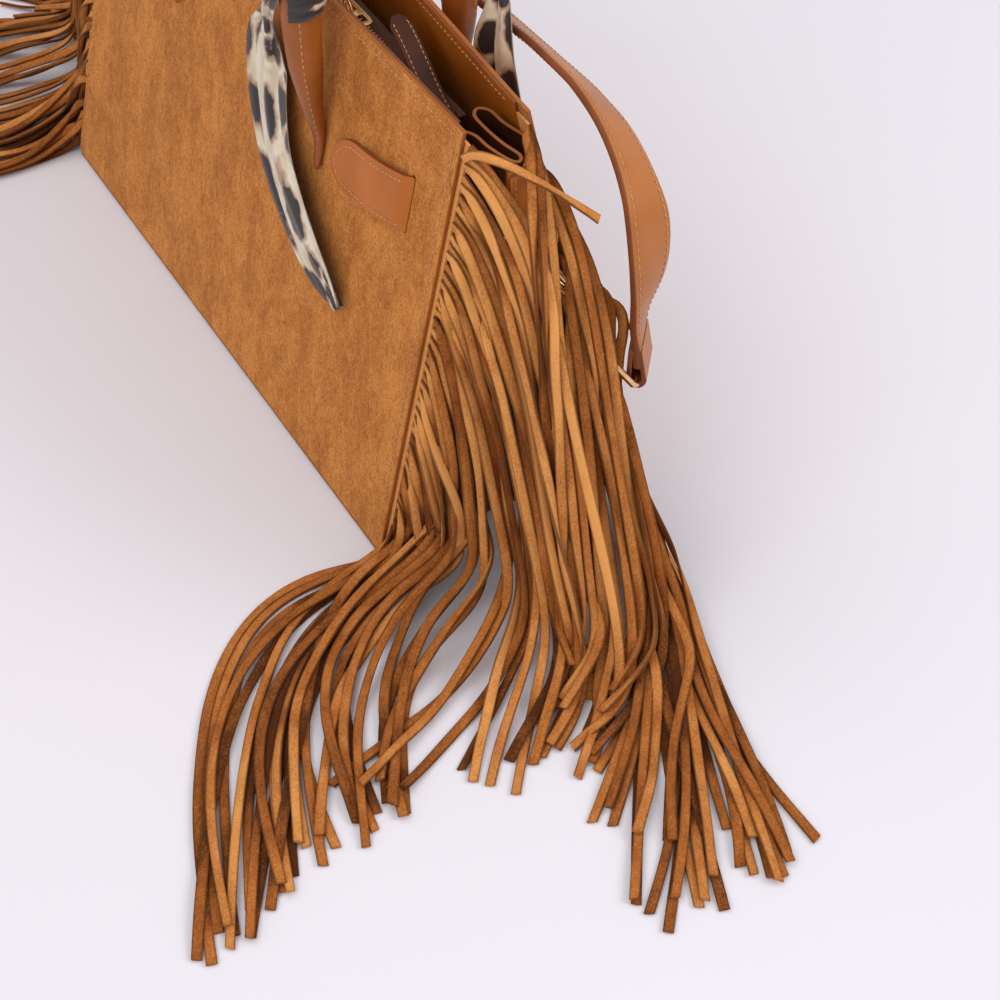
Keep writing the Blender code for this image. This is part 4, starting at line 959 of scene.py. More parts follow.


# %% [markdown]
# A settled line becomes a ribbon by a loft of small rounded sections. Details make it look cut from suede: each strip
# has its own width, roll, tone and slanted end. Light and shade are painted into the colour too: a point is darker
# where other strips cover it, as in a real pile, strips are darker near the floor and in the back bundle, lighter in
# the front one, and darker along their sides.
# %% Ribbons from the settled lines
def ribbon_frames(line, rng):
    """Directions across a strip: upright at the seam, then turning to lie flat, with a little roll of its own."""
    tangents = directions(line)
    heading = unit((line[-1] - line[len(line) // 2]) * (1, 1, 0))
    fall_side = np.array([-heading[1], heading[0], 0.0])
    hang_side = unit(0.35 * fall_side * np.sign(fall_side[1] or 1) + np.array((0.0, 1.0, 0.0)))
    spacing = np.linalg.norm(np.diff(line, axis=0), axis=1).mean()
    roll = rng.normal(0, 0.75) * np.sin(np.linspace(0, rng.uniform(4, 10), len(line)) + rng.uniform(0, 6.28))
    roll += rng.normal(0, 0.35)
    roll *= 1 - 0.7 * np.clip((18 - line[:, 2]) / 12, 0, 1)
    across = np.array((0.0, 0.0, 1.0))
    found = []
    for k, tangent in enumerate(tangents):
        across = unit(across - np.dot(across, tangent) * tangent)
        level = np.cross((0, 0, 1), tangent)
        flatness = min(1.0, np.linalg.norm(level) * 1.3)
        want = unit(level) if np.linalg.norm(level) > 1e-3 else hang_side
        if np.dot(want, hang_side) < 0:
            want = -want
        want = want * flatness**2 + hang_side * (1 - flatness**2)
        want = unit(want - np.dot(want, tangent) * tangent)
        if np.dot(want, across) < -0.1:
            want = -want
        angle = math.atan2(np.dot(np.cross(across, want), tangent), np.dot(across, want))
        limit = math.radians(5.5 if k > 1 else 0.0) * spacing
        angle = max(-limit, min(limit, angle))
        across = math.cos(angle) * across + math.sin(angle) * np.cross(tangent, across)
        spin = roll[k] * min(1.0, max(0.0, (k - 3) / 8))
        found.append(math.cos(spin) * across + math.sin(spin) * np.cross(tangent, across))
    return tangents, np.array(found)


STRIP_SECTION = (
    (-1, -0.55), (-0.86, -0.92), (0, -1), (0.86, -0.92), (1, -0.55), (1, 0.55), (0.86, 0.92), (0, 1), (-0.86, 0.92), (-1, 0.55),
)
FINE = 88  # points along a finished ribbon


def ribbon_sections(line, rng):
    tangents, across = ribbon_frames(line, rng)
    through = np.cross(tangents, across)
    width = STRIP_W * rng.uniform(0.90, 1.06) * (1 + 0.05 * np.sin(np.linspace(0, 20, len(line)) + rng.uniform(0, 6)))
    thick = STRIP_T * rng.uniform(0.9, 1.1)
    w, t = across * (width / 2)[:, None], through * thick / 2
    sections = np.stack([line + w * out + t * up for out, up in STRIP_SECTION], axis=1)
    cut = rng.uniform(-0.35, 0.35)
    slope = np.array([np.dot(corner - line[-1], across[-1]) for corner in sections[-1]])
    sections[-1] += tangents[-1] * (slope * cut)[:, None]
    return sections


def pile_shade(lines):
    """Painted shade on each point: a share for every other strip that covers it from outside or above."""
    spots = lines.reshape(-1, 3).tolist()
    owner = np.repeat(np.arange(len(lines)), lines.shape[1])
    tree = search_tree(spots)
    shade = np.zeros(len(spots))
    for number, spot in enumerate(spots):
        outwards = np.array((0.5, -0.15, 0.85)) if spot[2] < 25 else np.array((0.85, -0.35, 0.4))
        above = set()
        for place, other, _ in tree.find_range(spot, 6.5):
            if owner[other] != owner[number] and np.dot(np.array(place) - spot, outwards) > 1.8:
                above.add(owner[other])
        shade[number] = len(above)
    shade = np.minimum(shade, 4).reshape(lines.shape[:2]) * 0.12
    return 0.25 * np.roll(shade, 1, axis=1) + 0.5 * shade + 0.25 * np.roll(shade, -1, axis=1)


def header_strip(front):
    """The uncut edge of a fringe, which is sewn into the seam behind the panel."""
    zs = np.linspace(HEADER_LOW - 2, HEADER_HIGH - 1.5, 60)
    near, far = [front * (wall_y(HALF_W, zs * MM, SUEDE_T + GAP + d * MM) / MM) for d in (0.0, 1.2)]
    inside = (HALF_W - HEADER_IN) / MM
    return loft([[(inside, a, z), (inside, b, z), (ROOT_X, b, z), (ROOT_X, a, z)] for z, a, b in zip(zs, near, far)])


def make_fringes(side, sign, seed, rounds):
    rng = np.random.default_rng(seed)
    lines = np.array([guide(bundle, i, rng) for bundle in ("front", "back") for i in range(STRIPS)])
    if side == "right":
        over, curl = stray_strips()
        lines = np.concatenate([lines, curl[None]])
    lines = settle(lines, rounds, rng)
    for number, bundle in enumerate(("front", "back")):
        front = -1 if bundle == "front" else 1
        chosen = list(lines[number * STRIPS : (number + 1) * STRIPS])
        if side == "right":
            chosen.append(over if bundle == "front" else lines[-1])
        chosen = np.array([smooth_curve(line, FINE) for line in chosen])
        more, faces = header_strip(front)
        points, tones, follows, edges = [more], [np.full(len(more), 0.9)], [more * MM], [np.full(len(more), 0.6)]
        total = len(more)
        for fine, shade in zip(chosen, pile_shade(chosen)):
            more, quads = loft(ribbon_sections(fine, rng), start=total)
            total += len(more)
            points.append(more)
            faces += quads
            # Painted light and shade: the front bundle's strips start lighter and the back bundle's darker, on top of a
            # random tone for each strip.
            base = rng.uniform(0.46, 0.88) + (0.12 if bundle == "front" else -0.05)
            # Painted shade: strips get darker as they come down near the floor, more in the front bundle.
            floor_shade = (0.30 if bundle == "front" else 0.10) * np.clip((46 - fine[:, 2]) / 40, 0, 1)
            drift = 0.12 * np.sin(np.linspace(0, rng.uniform(3, 9), FINE) + rng.uniform(0, 6.28))
            corners = len(STRIP_SECTION)
            tones.append(np.repeat(np.clip(base + drift - shade - floor_shade, 0, 1), corners))
            edges.append(np.tile([out for out, _ in STRIP_SECTION], FINE))
            run = np.repeat(np.linspace(0, run_along(fine)[-1], FINE), corners)
            width = np.tile([2.5 * out + 1.2 * up for out, up in STRIP_SECTION], FINE)
            follows.append(np.stack([run, width + 17.0 * len(follows), np.full(len(run), 3.0)], axis=1) * MM)
        fringe = make_piece(f"{side}_{bundle}_fringe", mirrored(np.concatenate(points) * MM, sign), faces, STRIP_SUEDE, sharp=50)
        tone = fringe.data.attributes.new("tone", "FLOAT", "POINT")
        tone.data.foreach_set("value", np.concatenate(tones).astype(np.float32))
        edge = fringe.data.attributes.new("edge", "FLOAT", "POINT")
        edge.data.foreach_set("value", np.concatenate(edges).astype(np.float32))
        along_strip = fringe.data.attributes.new("along_strip", "FLOAT_VECTOR", "POINT")
        along_strip.data.foreach_set("vector", np.concatenate(follows).astype(np.float32).reshape(-1))
        dress(fringe, [f"fringe_{bundle}_{side}"])


def stray_strips():
    """One strip thrown over the others at the top, and one that curls at the back corner."""
    over = [
        (178.5, -18, 217), (182, -15.5, 220), (187, -12, 221), (197, -5.5, 220),
        (208, 2, 216.5), (217, 9, 212), (226, 16, 207), (231, 19.5, 204),
    ]
    curl = [
        (176.5, 14.5, 217), (178.5, 12, 220.5), (180, 7, 221), (181, 2, 218.5), (185, -4, 215.5),
        (191, -6, 206), (196, -7, 195), (200, -7.7, 187), (206, -8, 165), (209, -9, 130),
        (211, -9, 90), (213, -10, 50), (220, -14, 20), (232, -20, 4), (252, -32, 1.5),
    ]
    return spaced(smooth_curve(over, 400), POINTS, end=65.0), spaced(smooth_curve(curl, 400), POINTS, end=STRIP_L)


ROUNDS = 150
make_fringes("right", 1, 5, ROUNDS)
make_fringes("left", -1, 11, ROUNDS)

# %% [markdown]
# A rolled handle is a leather tube sewn round a cord, and its ends are flattened into pointed tongues that are stitched to the
# panel. One oval tube along a curve makes it: the oval's two radii shrink towards the tips.
# %% Handles
HANDLE_X, HANDLE_Y, HANDLE_TIP_Z, HANDLE_TOP, HANDLE_R = 74.0 * MM, 38.5 * MM, 149.0 * MM, 330.0 * MM, 9.0 * MM


def handle_line():
    """Right half of a handle, from the tip of its tongue to the top of the arch."""
    tip, lean = HANDLE_TIP_Z, float(wall_y(HANDLE_X, HANDLE_TIP_Z)) + 0.5 * MM
    points = [
        (HANDLE_X + 1 * MM, -(lean + 1.5 * MM), tip),
        (HANDLE_X + 0.5 * MM, -(float(wall_y(HANDLE_X, tip + 16 * MM)) + 2.6 * MM), tip + 16 * MM),
        (HANDLE_X, -(HANDLE_Y - 1.5 * MM), tip + 38 * MM),
        (HANDLE_X - 1 * MM, -HANDLE_Y, tip + 62 * MM),
        (HANDLE_X - 2 * MM, -HANDLE_Y, tip + 86 * MM),
    ]
    low = tip + 86 * MM
    for turn in np.radians((12, 28, 44, 60, 75, 90)):
        x = (HANDLE_X - 2 * MM) * math.cos(turn) ** 0.8 if turn < 1.57 else 0.0
        points.append((x, -HANDLE_Y, low + (HANDLE_TOP - HANDLE_R - low) * math.sin(turn)))
    return np.array(points)


def make_handle(label, front):
    line = whole_curve(handle_line(), 181)
    along = run_along(line)
    reach = np.minimum(along, along[-1] - along)
    steps = np.array((0, 4, 14, 34, 56, 80)) * MM
    across = np.interp(reach, steps, np.array((1.3, 2.4, 3.5, 5.6, 8.4, 9.0)) * MM)
    through = np.interp(reach, steps, np.array((0.9, 1.4, 2.0, 4.6, 7.6, 9.0)) * MM)
    creases = 1 + 0.012 * np.sin(reach / MM * 0.9) * np.exp(-(((reach / MM - 62) / 14) ** 2))
    points, faces = tube(line, np.stack([across * creases, through * creases], axis=1), sides=28)
    handle = make_piece(f"{label}_handle_leather", points * (1, front, 1), faces, HANDLE_LEATHER, sharp=70)
    apply_modifier(handle, "SUBSURF", levels=1, render_levels=1)
    dress(handle, [f"handle_{label}"])
    tangents = directions(line)
    inner_side = np.cross(tangents, (0, 1, 0))
    inner_side = inner_side / np.linalg.norm(inner_side, axis=1)[:, None]
    seam = line + inner_side * (across * creases + 0.05 * MM)[:, None]
    keep = (reach > 44 * MM)
    rows = [(seam[keep] * (1, front, 1), inner_side[keep] * (1, front, 1))]
    outer_side = -0.86 * inner_side + np.array((0.0, -0.5, 0.0))
    for half in (line[:, 0] > 0, line[:, 0] < 0):
        leg = half & (reach > 15 * MM) & (reach < 92 * MM)
        seam = line + outer_side * (np.minimum(across, through) * 0.5 + across * 0.5 * creases)[:, None]
        rows.append((seam[leg] * (1, front, 1), outer_side[leg] * (1, front, 1)))
    return rows


handle_rows = make_handle("front", 1) + make_handle("back", -1)
dress(stitch_rows("handle_stitches", handle_rows, pitch=3.6 * MM, length=2.6 * MM, thick=0.34 * MM))

# %% [markdown]
# Two strap ends come out of slits in the front panel and turn flat against it. Each is a doubled strip with a round end, stitched
# all round a few millimetres in, and its edge is painted.
# %% Front strap ends
STRAP_TAB_L, STRAP_TAB_HALF_W, STRAP_TAB_T = 63.0 * MM, 13.5 * MM, 2.2 * MM
DROOP = math.radians(11.0)


def tab_half_width(s, round_tip=True):
    half = STRAP_TAB_HALF_W * (1 - 0.10 * s)
    return half * math.sqrt(max(0.0, 1 - ((s - 0.74) / 0.26) ** 2)) if round_tip and s > 0.74 else half


def tab_point(s, v, lift):
    """A point of the right strap end: s runs from the slit to the round tip, v across, lift away from the panel."""
    along, half = s * STRAP_TAB_L, tab_half_width(s)
    z = SLIT_Z - along * math.sin(DROOP) + v * half
    x = SLIT_X - along * math.cos(DROOP)
    rise = 1.6 * MM * math.sin(math.pi * min(1, s * 1.4)) + 0.5 * MM
    if s < 0.07:
        rise -= (0.07 - s) / 0.07 * 1.6 * MM
    return (x, -(float(wall_y(x, z)) + rise + lift), z)


def stem_row(x, across, rise):
    """A row of points in the slit, where the strap end passes through the panel."""
    zs = [SLIT_Z + v * STRAP_TAB_HALF_W for v in across]
    return [(x, -(float(wall_y(SLIT_X, z)) + rise), z) for z in zs]


def make_front_strap(side, sign):
    stations = np.concatenate([np.linspace(0, 0.74, 30), 0.74 + 0.26 * np.sin(np.linspace(0.06, math.pi / 2 * 0.985, 22))])
    across = np.linspace(-1, 1, 17)
    outer = [[tab_point(s, v, STRAP_TAB_T * (1 - 0.25 * abs(v) ** 8)) for v in across] for s in stations]
    inner = [[tab_point(s, v, 0.0) for v in across] for s in stations]
    stem_out = [stem_row(SLIT_X + 1.1 * MM, across, rise * MM) for rise in (-1.6, 0.2)]
    stem_in = [stem_row(SLIT_X - 1.0 * MM, across, rise * MM) for rise in (-1.6, -0.5)]
    points, faces, rim = slab(stem_out + outer, stem_in + inner)
    leathers = [TAN_LEATHER, EDGE_PAINT]
    strap = make_piece(f"{side}_front_strap_leather", mirrored(points, sign), faces, leathers, rim_from=rim, sharp=50)
    soften(strap, 0.5 * MM)
    dress(strap, [f"front_strap_{side}"])
    seam = 0.80
    loop = [(s, -seam) for s in np.linspace(0.03, 0.70, 40)]
    loop += [(0.72 + 0.205 * math.cos(t), seam * math.sin(t)) for t in np.linspace(-math.pi / 2, math.pi / 2, 30)]
    loop += [(s, seam) for s in np.linspace(0.70, 0.03, 40)]
    line = []
    for s, v in loop:
        share = v * tab_half_width(s, round_tip=False) / max(tab_half_width(s), 1e-5)
        line.append(tab_point(s, np.clip(share, -0.86, 0.86), STRAP_TAB_T + 0.05 * MM))
    line = spaced(np.array(line), 160)
    outward = np.tile((0.0, -0.98, 0.2), (160, 1))
    return [(mirrored(line, sign), mirrored(outward, sign))]


rows = []
for side, sign in SIDES:
    rows += make_front_strap(side, sign)
dress(stitch_rows("front_strap_stitches", rows, pitch=3.3 * MM, length=2.3 * MM, thick=0.36 * MM))

# %% [markdown]
# The scarves are silk, folded into a band, wound round a handle's leg and left with a pleated tail. The tail is a sheet
# whose cross-section waves in pleats, so light catches each pleat, and its UV map is laid out in metres for the print.
# %% Scarves
# Points down the middle of each tail, in millimetres (x, y outwards, z), each with the width there.
SCARF_TAILS = {
    "front": (
        ((70, 49.4, 248), 11), ((60, 48, 236), 14), ((46, 43, 221), 16), ((34, 37, 206), 12), ((28, 35, 194), 26),
        ((26, 36, 180), 40), ((32, 39.5, 160), 43), ((45, 43.5, 141), 43), ((65, 46.5, 125), 40),
        ((87, 48.4, 112.5), 33), ((104, 48.4, 104.5), 20), ((114, 48, 100), 5),
    ),
    "back": (
        ((74, 49.4, 248), 10), ((88, 49, 236), 14), ((98, 43, 224), 24), ((104, 37.5, 208), 34), ((106, 38.5, 186), 42),
        ((98, 46, 162), 46), ((92, 51, 138), 42), ((84, 56, 116), 30), ((79, 59, 104), 16), ((76, 61, 98), 5),
    ),
}
SILK_T = 0.45 * MM


def cloth_uv(rows, cols, wide, long):
    """The print's place on both faces of a sheet, in metres; the inner face shows another part of the print."""
    v, u = np.meshgrid(np.linspace(0, long, rows), np.linspace(0, wide, cols), indexing="ij")
    one = np.stack([u.reshape(-1), v.reshape(-1)], axis=1)
    return np.concatenate([one, one + (0.37, 0.21)])


def make_tail(label, front, rng):
    tail, rows, cols = SCARF_TAILS[label], 90, 41
    centre = np.array([p for p, _ in tail], float) * MM
    widths = np.array([w for _, w in tail], float) * MM
    keyed = smooth_curve(np.hstack([centre, widths[:, None]]), rows)
    centre, widths = keyed[:, :3], np.maximum(keyed[:, 3], 1.5 * MM)
    ahead = directions(centre)
    vs = np.linspace(-1, 1, cols)
    phase = rng.uniform(0, 6.28)
    outer, inner = [], []
    for k in range(rows):
        share = k / (rows - 1)
        across = unit(np.cross(ahead[k], (0, 1, 0))) * widths[k] / 2
        fold = (0.9 + 1.9 * share * (1 - 0.6 * share)) * MM
        waves = np.sin(vs * 5.2 + phase + 1.6 * share) + 0.45 * np.sin(vs * 11 + 2.1 * phase - 3 * share)
        pleats = fold * waves * np.clip((1 - np.abs(vs)) * 6, 0.3, 1)
        gather = vs + 0.10 * np.sin(vs * 6.3 + phase)
        spots = centre[k] + across * gather[:, None]
        wall = wall_y(spots[:, 0], np.minimum(spots[:, 2], HEIGHT)) + 1.0 * MM
        depth = np.maximum(spots[:, 1] + pleats, wall) + 1.1 * MM * np.exp(-((vs / 0.35) ** 2)) * (1 - share)
        top = np.stack([spots[:, 0], -(depth + SILK_T), spots[:, 2]], axis=1)
        under = np.stack([spots[:, 0], -depth, spots[:, 2]], axis=1)
        outer.append(top * (1, front, 1))
        inner.append(under * (1, front, 1))
    return slab(outer, inner)[:2], cloth_uv(rows, cols, 0.058, 0.19)


def make_wrap(front):
    """The band's turns round the leg: a spiral strip of cloth that overlaps itself and puckers."""
    half = whole_curve(handle_line(), 600)[:300]
    part = spaced(half[(half[:, 2] > HANDLE_TIP_Z + 83 * MM) & (half[:, 2] < HANDLE_TIP_Z + 134 * MM)], 200)
    tangents = directions(part)
    turns, rows, cols = 3.2, 260, 13
    outer, inner = [], []
    for k in range(rows):
        share = k / (rows - 1)
        angle = 2 * math.pi * turns * share + 2.2
        row_out, row_in = [], []
        for j, v in enumerate(np.linspace(-1, 1, cols)):
            spot = np.clip(share * 0.70 + 0.15 + v * 0.135, 0, 1) * 199
            low = int(spot)
            high = min(low + 1, 199)
            centre = part[low] + (part[high] - part[low]) * (spot - low)
            tangent = tangents[low]
            across = unit(np.cross(tangent, (0, 1, 0)))
            up = np.cross(tangent, across)
            pucker = 0.35 * math.sin(v * 8 + angle * 1.7) + 0.25 * math.sin(v * 15 + angle * 3.1)
            radius = HANDLE_R + (0.9 + 0.55 * (1 - v) + pucker) * MM
            way = across * math.cos(angle) + up * math.sin(angle)
            row_out.append((centre + way * (radius + SILK_T)) * (1, front, 1))
            row_in.append((centre + way * radius) * (1, front, 1))
        outer.append(row_out)
        inner.append(row_in)
    return slab(outer, inner)[:2], cloth_uv(rows, cols, 0.024, 0.21) + (1.2, 0.0)


def make_scarf(label, front, seed):
    rng = np.random.default_rng(seed)
    (tail_points, tail_faces), tail_uv = make_tail(label, front, rng)
    (wrap_points, wrap_faces), wrap_uv = make_wrap(front)
    tail_faces = [[i + len(wrap_points) for i in face] for face in tail_faces]
    points, uv = np.concatenate([wrap_points, tail_points]), np.concatenate([wrap_uv, tail_uv])
    scarf = make_piece(f"{label}_scarf_silk", points, wrap_faces + tail_faces, SILK, sharp=80, uv=uv)
    dress(scarf, [f"scarf_{label}"])


make_scarf("front", 1, 3)
make_scarf("back", -1, 8)

# %% [markdown]
# The shoulder strap rises from its hook, arches behind the bag and comes down the same way at the left. It is two plies of leather
# with a painted edge and a row of stitches near each side, so its section has rounded corners and the thread lies on both faces.
# %% Shoulder strap
STRAP_W, STRAP_T, HOOK_WIRE = 25.0 * MM, 3.6 * MM, 2.0 * MM
TAB_T, RING_WIRE, RING_HALF_W, RING_DROP, BAR_CLEAR, BAR_Z = 2.0 * MM, 1.7 * MM, 11.0 * MM, 20.0 * MM, 0.4 * MM, 186.0 * MM
EYE_AT = np.array((229.0, 40.0, 118.0)) * MM
STRAP_SECTION = (
    (-1, -0.45), (-0.975, -0.8), (-0.93, -1), (-0.5, -1.04), (0, -1.05), (0.5, -1.04), (0.93, -1), (0.975, -0.8), (1, -0.45),
)


def ring_seat():
    """Right ring: the middle of its straight bar, the way it hangs, and the way its bar runs."""
    nose = gusset_line(GUSSET_TOP)[:, 0].max() + GUSSET_T / 2
    bar = np.array([nose + 0.4 * MM + TAB_T + RING_WIRE + BAR_CLEAR, 3.8 * MM, BAR_Z])
    tilt = math.radians(30.0)
    return bar, np.array([math.sin(tilt), 0, -math.cos(tilt)]), np.array([0, 1.0, 0])


def hook_seat():
    """Right hook: the inside of its claw's top, and the way it hangs."""
    bar, down, _ = ring_seat()
    top_in = bar + down * (RING_DROP - RING_WIRE - HOOK_WIRE - 1.2 * MM)
    return top_in, unit(EYE_AT - top_in)


def strap_frames():
    """The strap's middle line, and which way its width points all along."""
    count = 361
    line = whole_curve(np.array(STRAP_RISE) * MM, count)
    at_eye = unit(np.cross((0, 0, 1), hook_seat()[1]))
    across = []
    for k, tangent in enumerate(directions(line)):
        share = min(k, count - 1 - k) / (count // 2)
        mirror = np.array([1 if k <= count // 2 else -1, 1, 1])
        flat = [np.interp(share, (0, 0.25, 0.45, 0.6, 1), way) for way in STRAP_TURN]
        turned_in = np.interp(share, (0.03, 0.24), (1, 0))
        want = (unit(flat) * (1 - turned_in) + at_eye * turned_in) * mirror
        across.append(unit(want - np.dot(want, tangent) * tangent))
    return line, np.array(across)


def make_strap():
    line, across = strap_frames()
    tangents = directions(line)
    through = np.cross(tangents, across)
    profile = [*STRAP_SECTION, *((-a, -b) for a, b in STRAP_SECTION)]
    sections = np.stack([line + across * a * STRAP_W / 2 + through * b * STRAP_T / 2 for a, b in profile], axis=1)
    points, faces = loft(sections)
    strap = make_piece("shoulder_strap_leather", points, faces, [STRAP_LEATHER, EDGE_PAINT], sharp=60)
    sides = len(profile)
    painted = (0, 7, 8, 9, 16, 17)
    numbers = [1 if n < len(faces) - 2 and n % sides in painted else 0 for n in range(len(faces))]
    strap.data.polygons.foreach_set("material_index", numbers)
    from_middle, proud = STRAP_W / 2 - 3.0 * MM, STRAP_T / 2 * 1.02 + 0.04 * MM
    rows = []
    for way in (-1, 1):
        for face in (-1, 1):
            rows.append((line + across * way * from_middle + through * face * proud, through * face))
    dress(stitch_rows("strap_stitches", rows, pitch=3.8 * MM, length=2.8 * MM, thick=0.36 * MM))
    # Each end is folded back round the bar of its eye and sewn to itself.
    frame, tangent = across[0], tangents[0]
    thick = unit(np.cross(tangent, frame))
    tangent = np.cross(frame, thick)
    clear, ply, leathers = 2.4 * MM, 2.2 * MM, [STRAP_LEATHER, EDGE_PAINT]
    inner, outer = [], []
    for turn in np.radians(np.linspace(-200, 20, 28)):
        way = math.cos(turn) * thick + math.sin(turn) * tangent
        inner.append(EYE_AT + clear * way)
        outer.append(EYE_AT + (clear + ply) * way)
    up = 15 * MM
    inner = [EYE_AT - 0.9 * MM * thick + tangent * up, *inner, EYE_AT + 0.9 * MM * thick + tangent * up]
    outer = [EYE_AT - 3.0 * MM * thick + tangent * up, *outer, EYE_AT + 3.0 * MM * thick + tangent * up]
    for side, sign in SIDES:
        grid_out = [[o + frame * STRAP_W / 2 * v for v in np.linspace(-1, 1, 9)] for o in outer]
        grid_in = [[o + frame * STRAP_W / 2 * v for v in np.linspace(-1, 1, 9)] for o in inner]
        points, faces, rim = slab(grid_out, grid_in)
        fold = make_piece(f"{side}_strap_fold", mirrored(points, sign), faces, leathers, rim_from=rim, sharp=50)
        soften(fold, 0.5 * MM)
        dress(fold)
    return dress(strap, ["shoulder_strap"])


make_strap()

# %% [markdown]
# The metal is wire and turned work. Each wire is a tube on the same centre line as its node, with enough sides to look round; the
# snap hook's barrel is a profile spun about its axis.
# %% Rings, hooks, gates and eyes
CLAW_HALF_W, CLAW_LONG, COLLAR_FROM_NECK = 7.5 * MM, 27.0 * MM, 11.6 * MM

# Profiles in millimetres: how far down the hook's axis, and the radius there. First the barrel with its beads and the pin in the
# eye's collar, then the collar, which is a closed ring.
BARREL = (
    (-1.5, 3.9), (-1.2, 4.6), (0.4, 5.2), (1, 5.4), (1.6, 5.15), (2.1, 5.4), (4.4, 5.4), (5, 5.2), (5.6, 5.4), (7.2, 4.9),
    (8, 4.2), (8.6, 2.4), (9, 2.0), (14.2, 2.0), (14.4, 3.0), (14.8, 3.6), (15.8, 3.6), (16.4, 3.2), (16.6, 2.6),
)
COLLAR = ((-2.1, 2.4), (2.1, 2.4), (2.1, 4.8), (1.6, 5.2), (-1.6, 5.2), (-2.1, 4.8))


def turned(profile, start, axis, across, ring=False):
    """A profile in millimetres, turned about an axis: solid, or a ring when the profile is closed."""
    up = np.cross(axis, across)
    turn = np.arange(32) * 2 * math.pi / 32
    round_way = np.outer(np.cos(turn), across) + np.outer(np.sin(turn), up)
    return loft([start + axis * s * MM + r * MM * round_way for s, r in profile], ring=ring)


def join_shapes(*shapes):
    points, faces = [], []
    for more, quads in shapes:
        faces += [[i + len(points) for i in face] for face in quads]
        points += np.asarray(more).tolist()
    return points, faces


def gilt_piece(name, shape, sign, node, body="bag"):
    piece = make_piece(name, mirrored(shape[0], sign), shape[1], GILT, sharp=50)
    return dress(piece, [node], body=body)


def make_ring_and_hook(side, sign):
    bar, down, across = ring_seat()
    plan = [(-RING_HALF_W + 2 * MM, 0), (0, 0), (RING_HALF_W - 2 * MM, 0)]
    for turn in np.radians((-28, 0, 28, 56, 90, 124, 152, 180, 208)):
        plan.append((RING_HALF_W * math.cos(turn), 7 * MM + (RING_DROP - 7 * MM) * max(math.sin(turn), -0.475)))
    ring_line = smooth_curve([bar + across * a + down * b for a, b in plan], 91, closed=True)[:-1]
    ring = tube(ring_line, RING_WIRE, 16, closed=True, side=np.cross(across, down))
    gilt_piece(f"{side}_ring_gilt", ring, sign, f"d_ring_{side}", f"ring_{side}")

    top_in, axis = hook_seat()
    normal = unit(across - np.dot(across, axis) * axis)
    lateral = np.cross(axis, normal)
    lateral = -lateral if lateral[2] < 0 else lateral

    def at(s, a, b=0.0):
        return top_in + axis * s + lateral * a + normal * b

    w, neck = CLAW_HALF_W, CLAW_LONG
    claw = [at(neck + 3 * MM, 0), at(neck - 3 * MM, -0.75 * w), at(neck - 9 * MM, -w), at(8 * MM, -w)]
    claw += [at(2.4 * MM, -0.72 * w), at(0, 0), at(2.4 * MM, 0.72 * w), at(7 * MM, w)]
    thick = np.interp(np.linspace(0, 16, 61), (0, 3, 13, 16), (2.6, 2.2, 2.0, 1.7)) * MM
    barrel = turned(BARREL, at(neck, 0), axis, unit(np.cross(axis, (0.3, 0.9, 0.2))))
    lug_line = smooth_curve([at(neck + 1 * MM, 3.4 * MM), at(neck - 0.4 * MM, 5.6 * MM), at(neck - 1.9 * MM, w * 0.98)], 12)
    lug = tube(lug_line, 1.6 * MM, 16, side=normal)
    hook = join_shapes(tube(smooth_curve(claw, 61), thick, 18, side=normal), barrel, lug)
    gilt_piece(f"{side}_hook_gilt", hook, sign, f"snap_hook_{side}", f"hook_{side}")
    gate_line = smooth_curve([at(s, w) for s in (neck - 2.6 * MM, neck - 3.8 * MM, neck - 5.6 * MM, 12 * MM, 7.7 * MM)], 25)
    gate = tube(gate_line, np.interp(np.arange(25), (0, 2, 6, 20, 24), (0.8, 1.5, 1.7, 1.65, 1.4)) * MM, 16, side=normal)
    thumb_line = smooth_curve([at(neck - a * MM, w, b * MM) for a, b in ((8, 1.2), (8.6, 3.0), (9, 4.2))], 8)
    thumb = tube(thumb_line, np.array((1.0, 1.1, 1.2, 1.3, 1.4, 1.5, 1.4, 0.9)) * MM, 12, side=lateral)
    gilt_piece(f"{side}_gate_gilt", join_shapes(gate, thumb), sign, f"hook_gate_{side}", f"gate_{side}")

    # The eye is a wire bow for the strap, whose ends meet the collar that the barrel's pin turns in.
    strap_across = unit(np.cross((0, 0, 1), axis))
    collar_at = at(neck + COLLAR_FROM_NECK, 0)
    half = STRAP_W / 2 + 3.0 * MM
    reach = np.linalg.norm(EYE_AT - collar_at) / MM
    corners = ((4.4 * MM / half, 0), (0.5, 1.0), (0.84, 3.2), (1.0, 8.0), (1.0, reach - 1.6), (0.93, reach), (0.45, reach))
    both = [(-a, s) for a, s in corners] + [(a, s) for a, s in reversed(corners)]
    bow_line = np.array([collar_at + axis * s * MM + strap_across * half * a for a, s in both])
    bow_wire = tube(bow_line, 1.6 * MM, 14, side=np.cross(axis, strap_across))
    collar = turned(COLLAR, collar_at, axis, strap_across, ring=True)
    gilt_piece(f"{side}_eye_gilt", join_shapes(bow_wire, collar), sign, f"hook_eye_{side}")


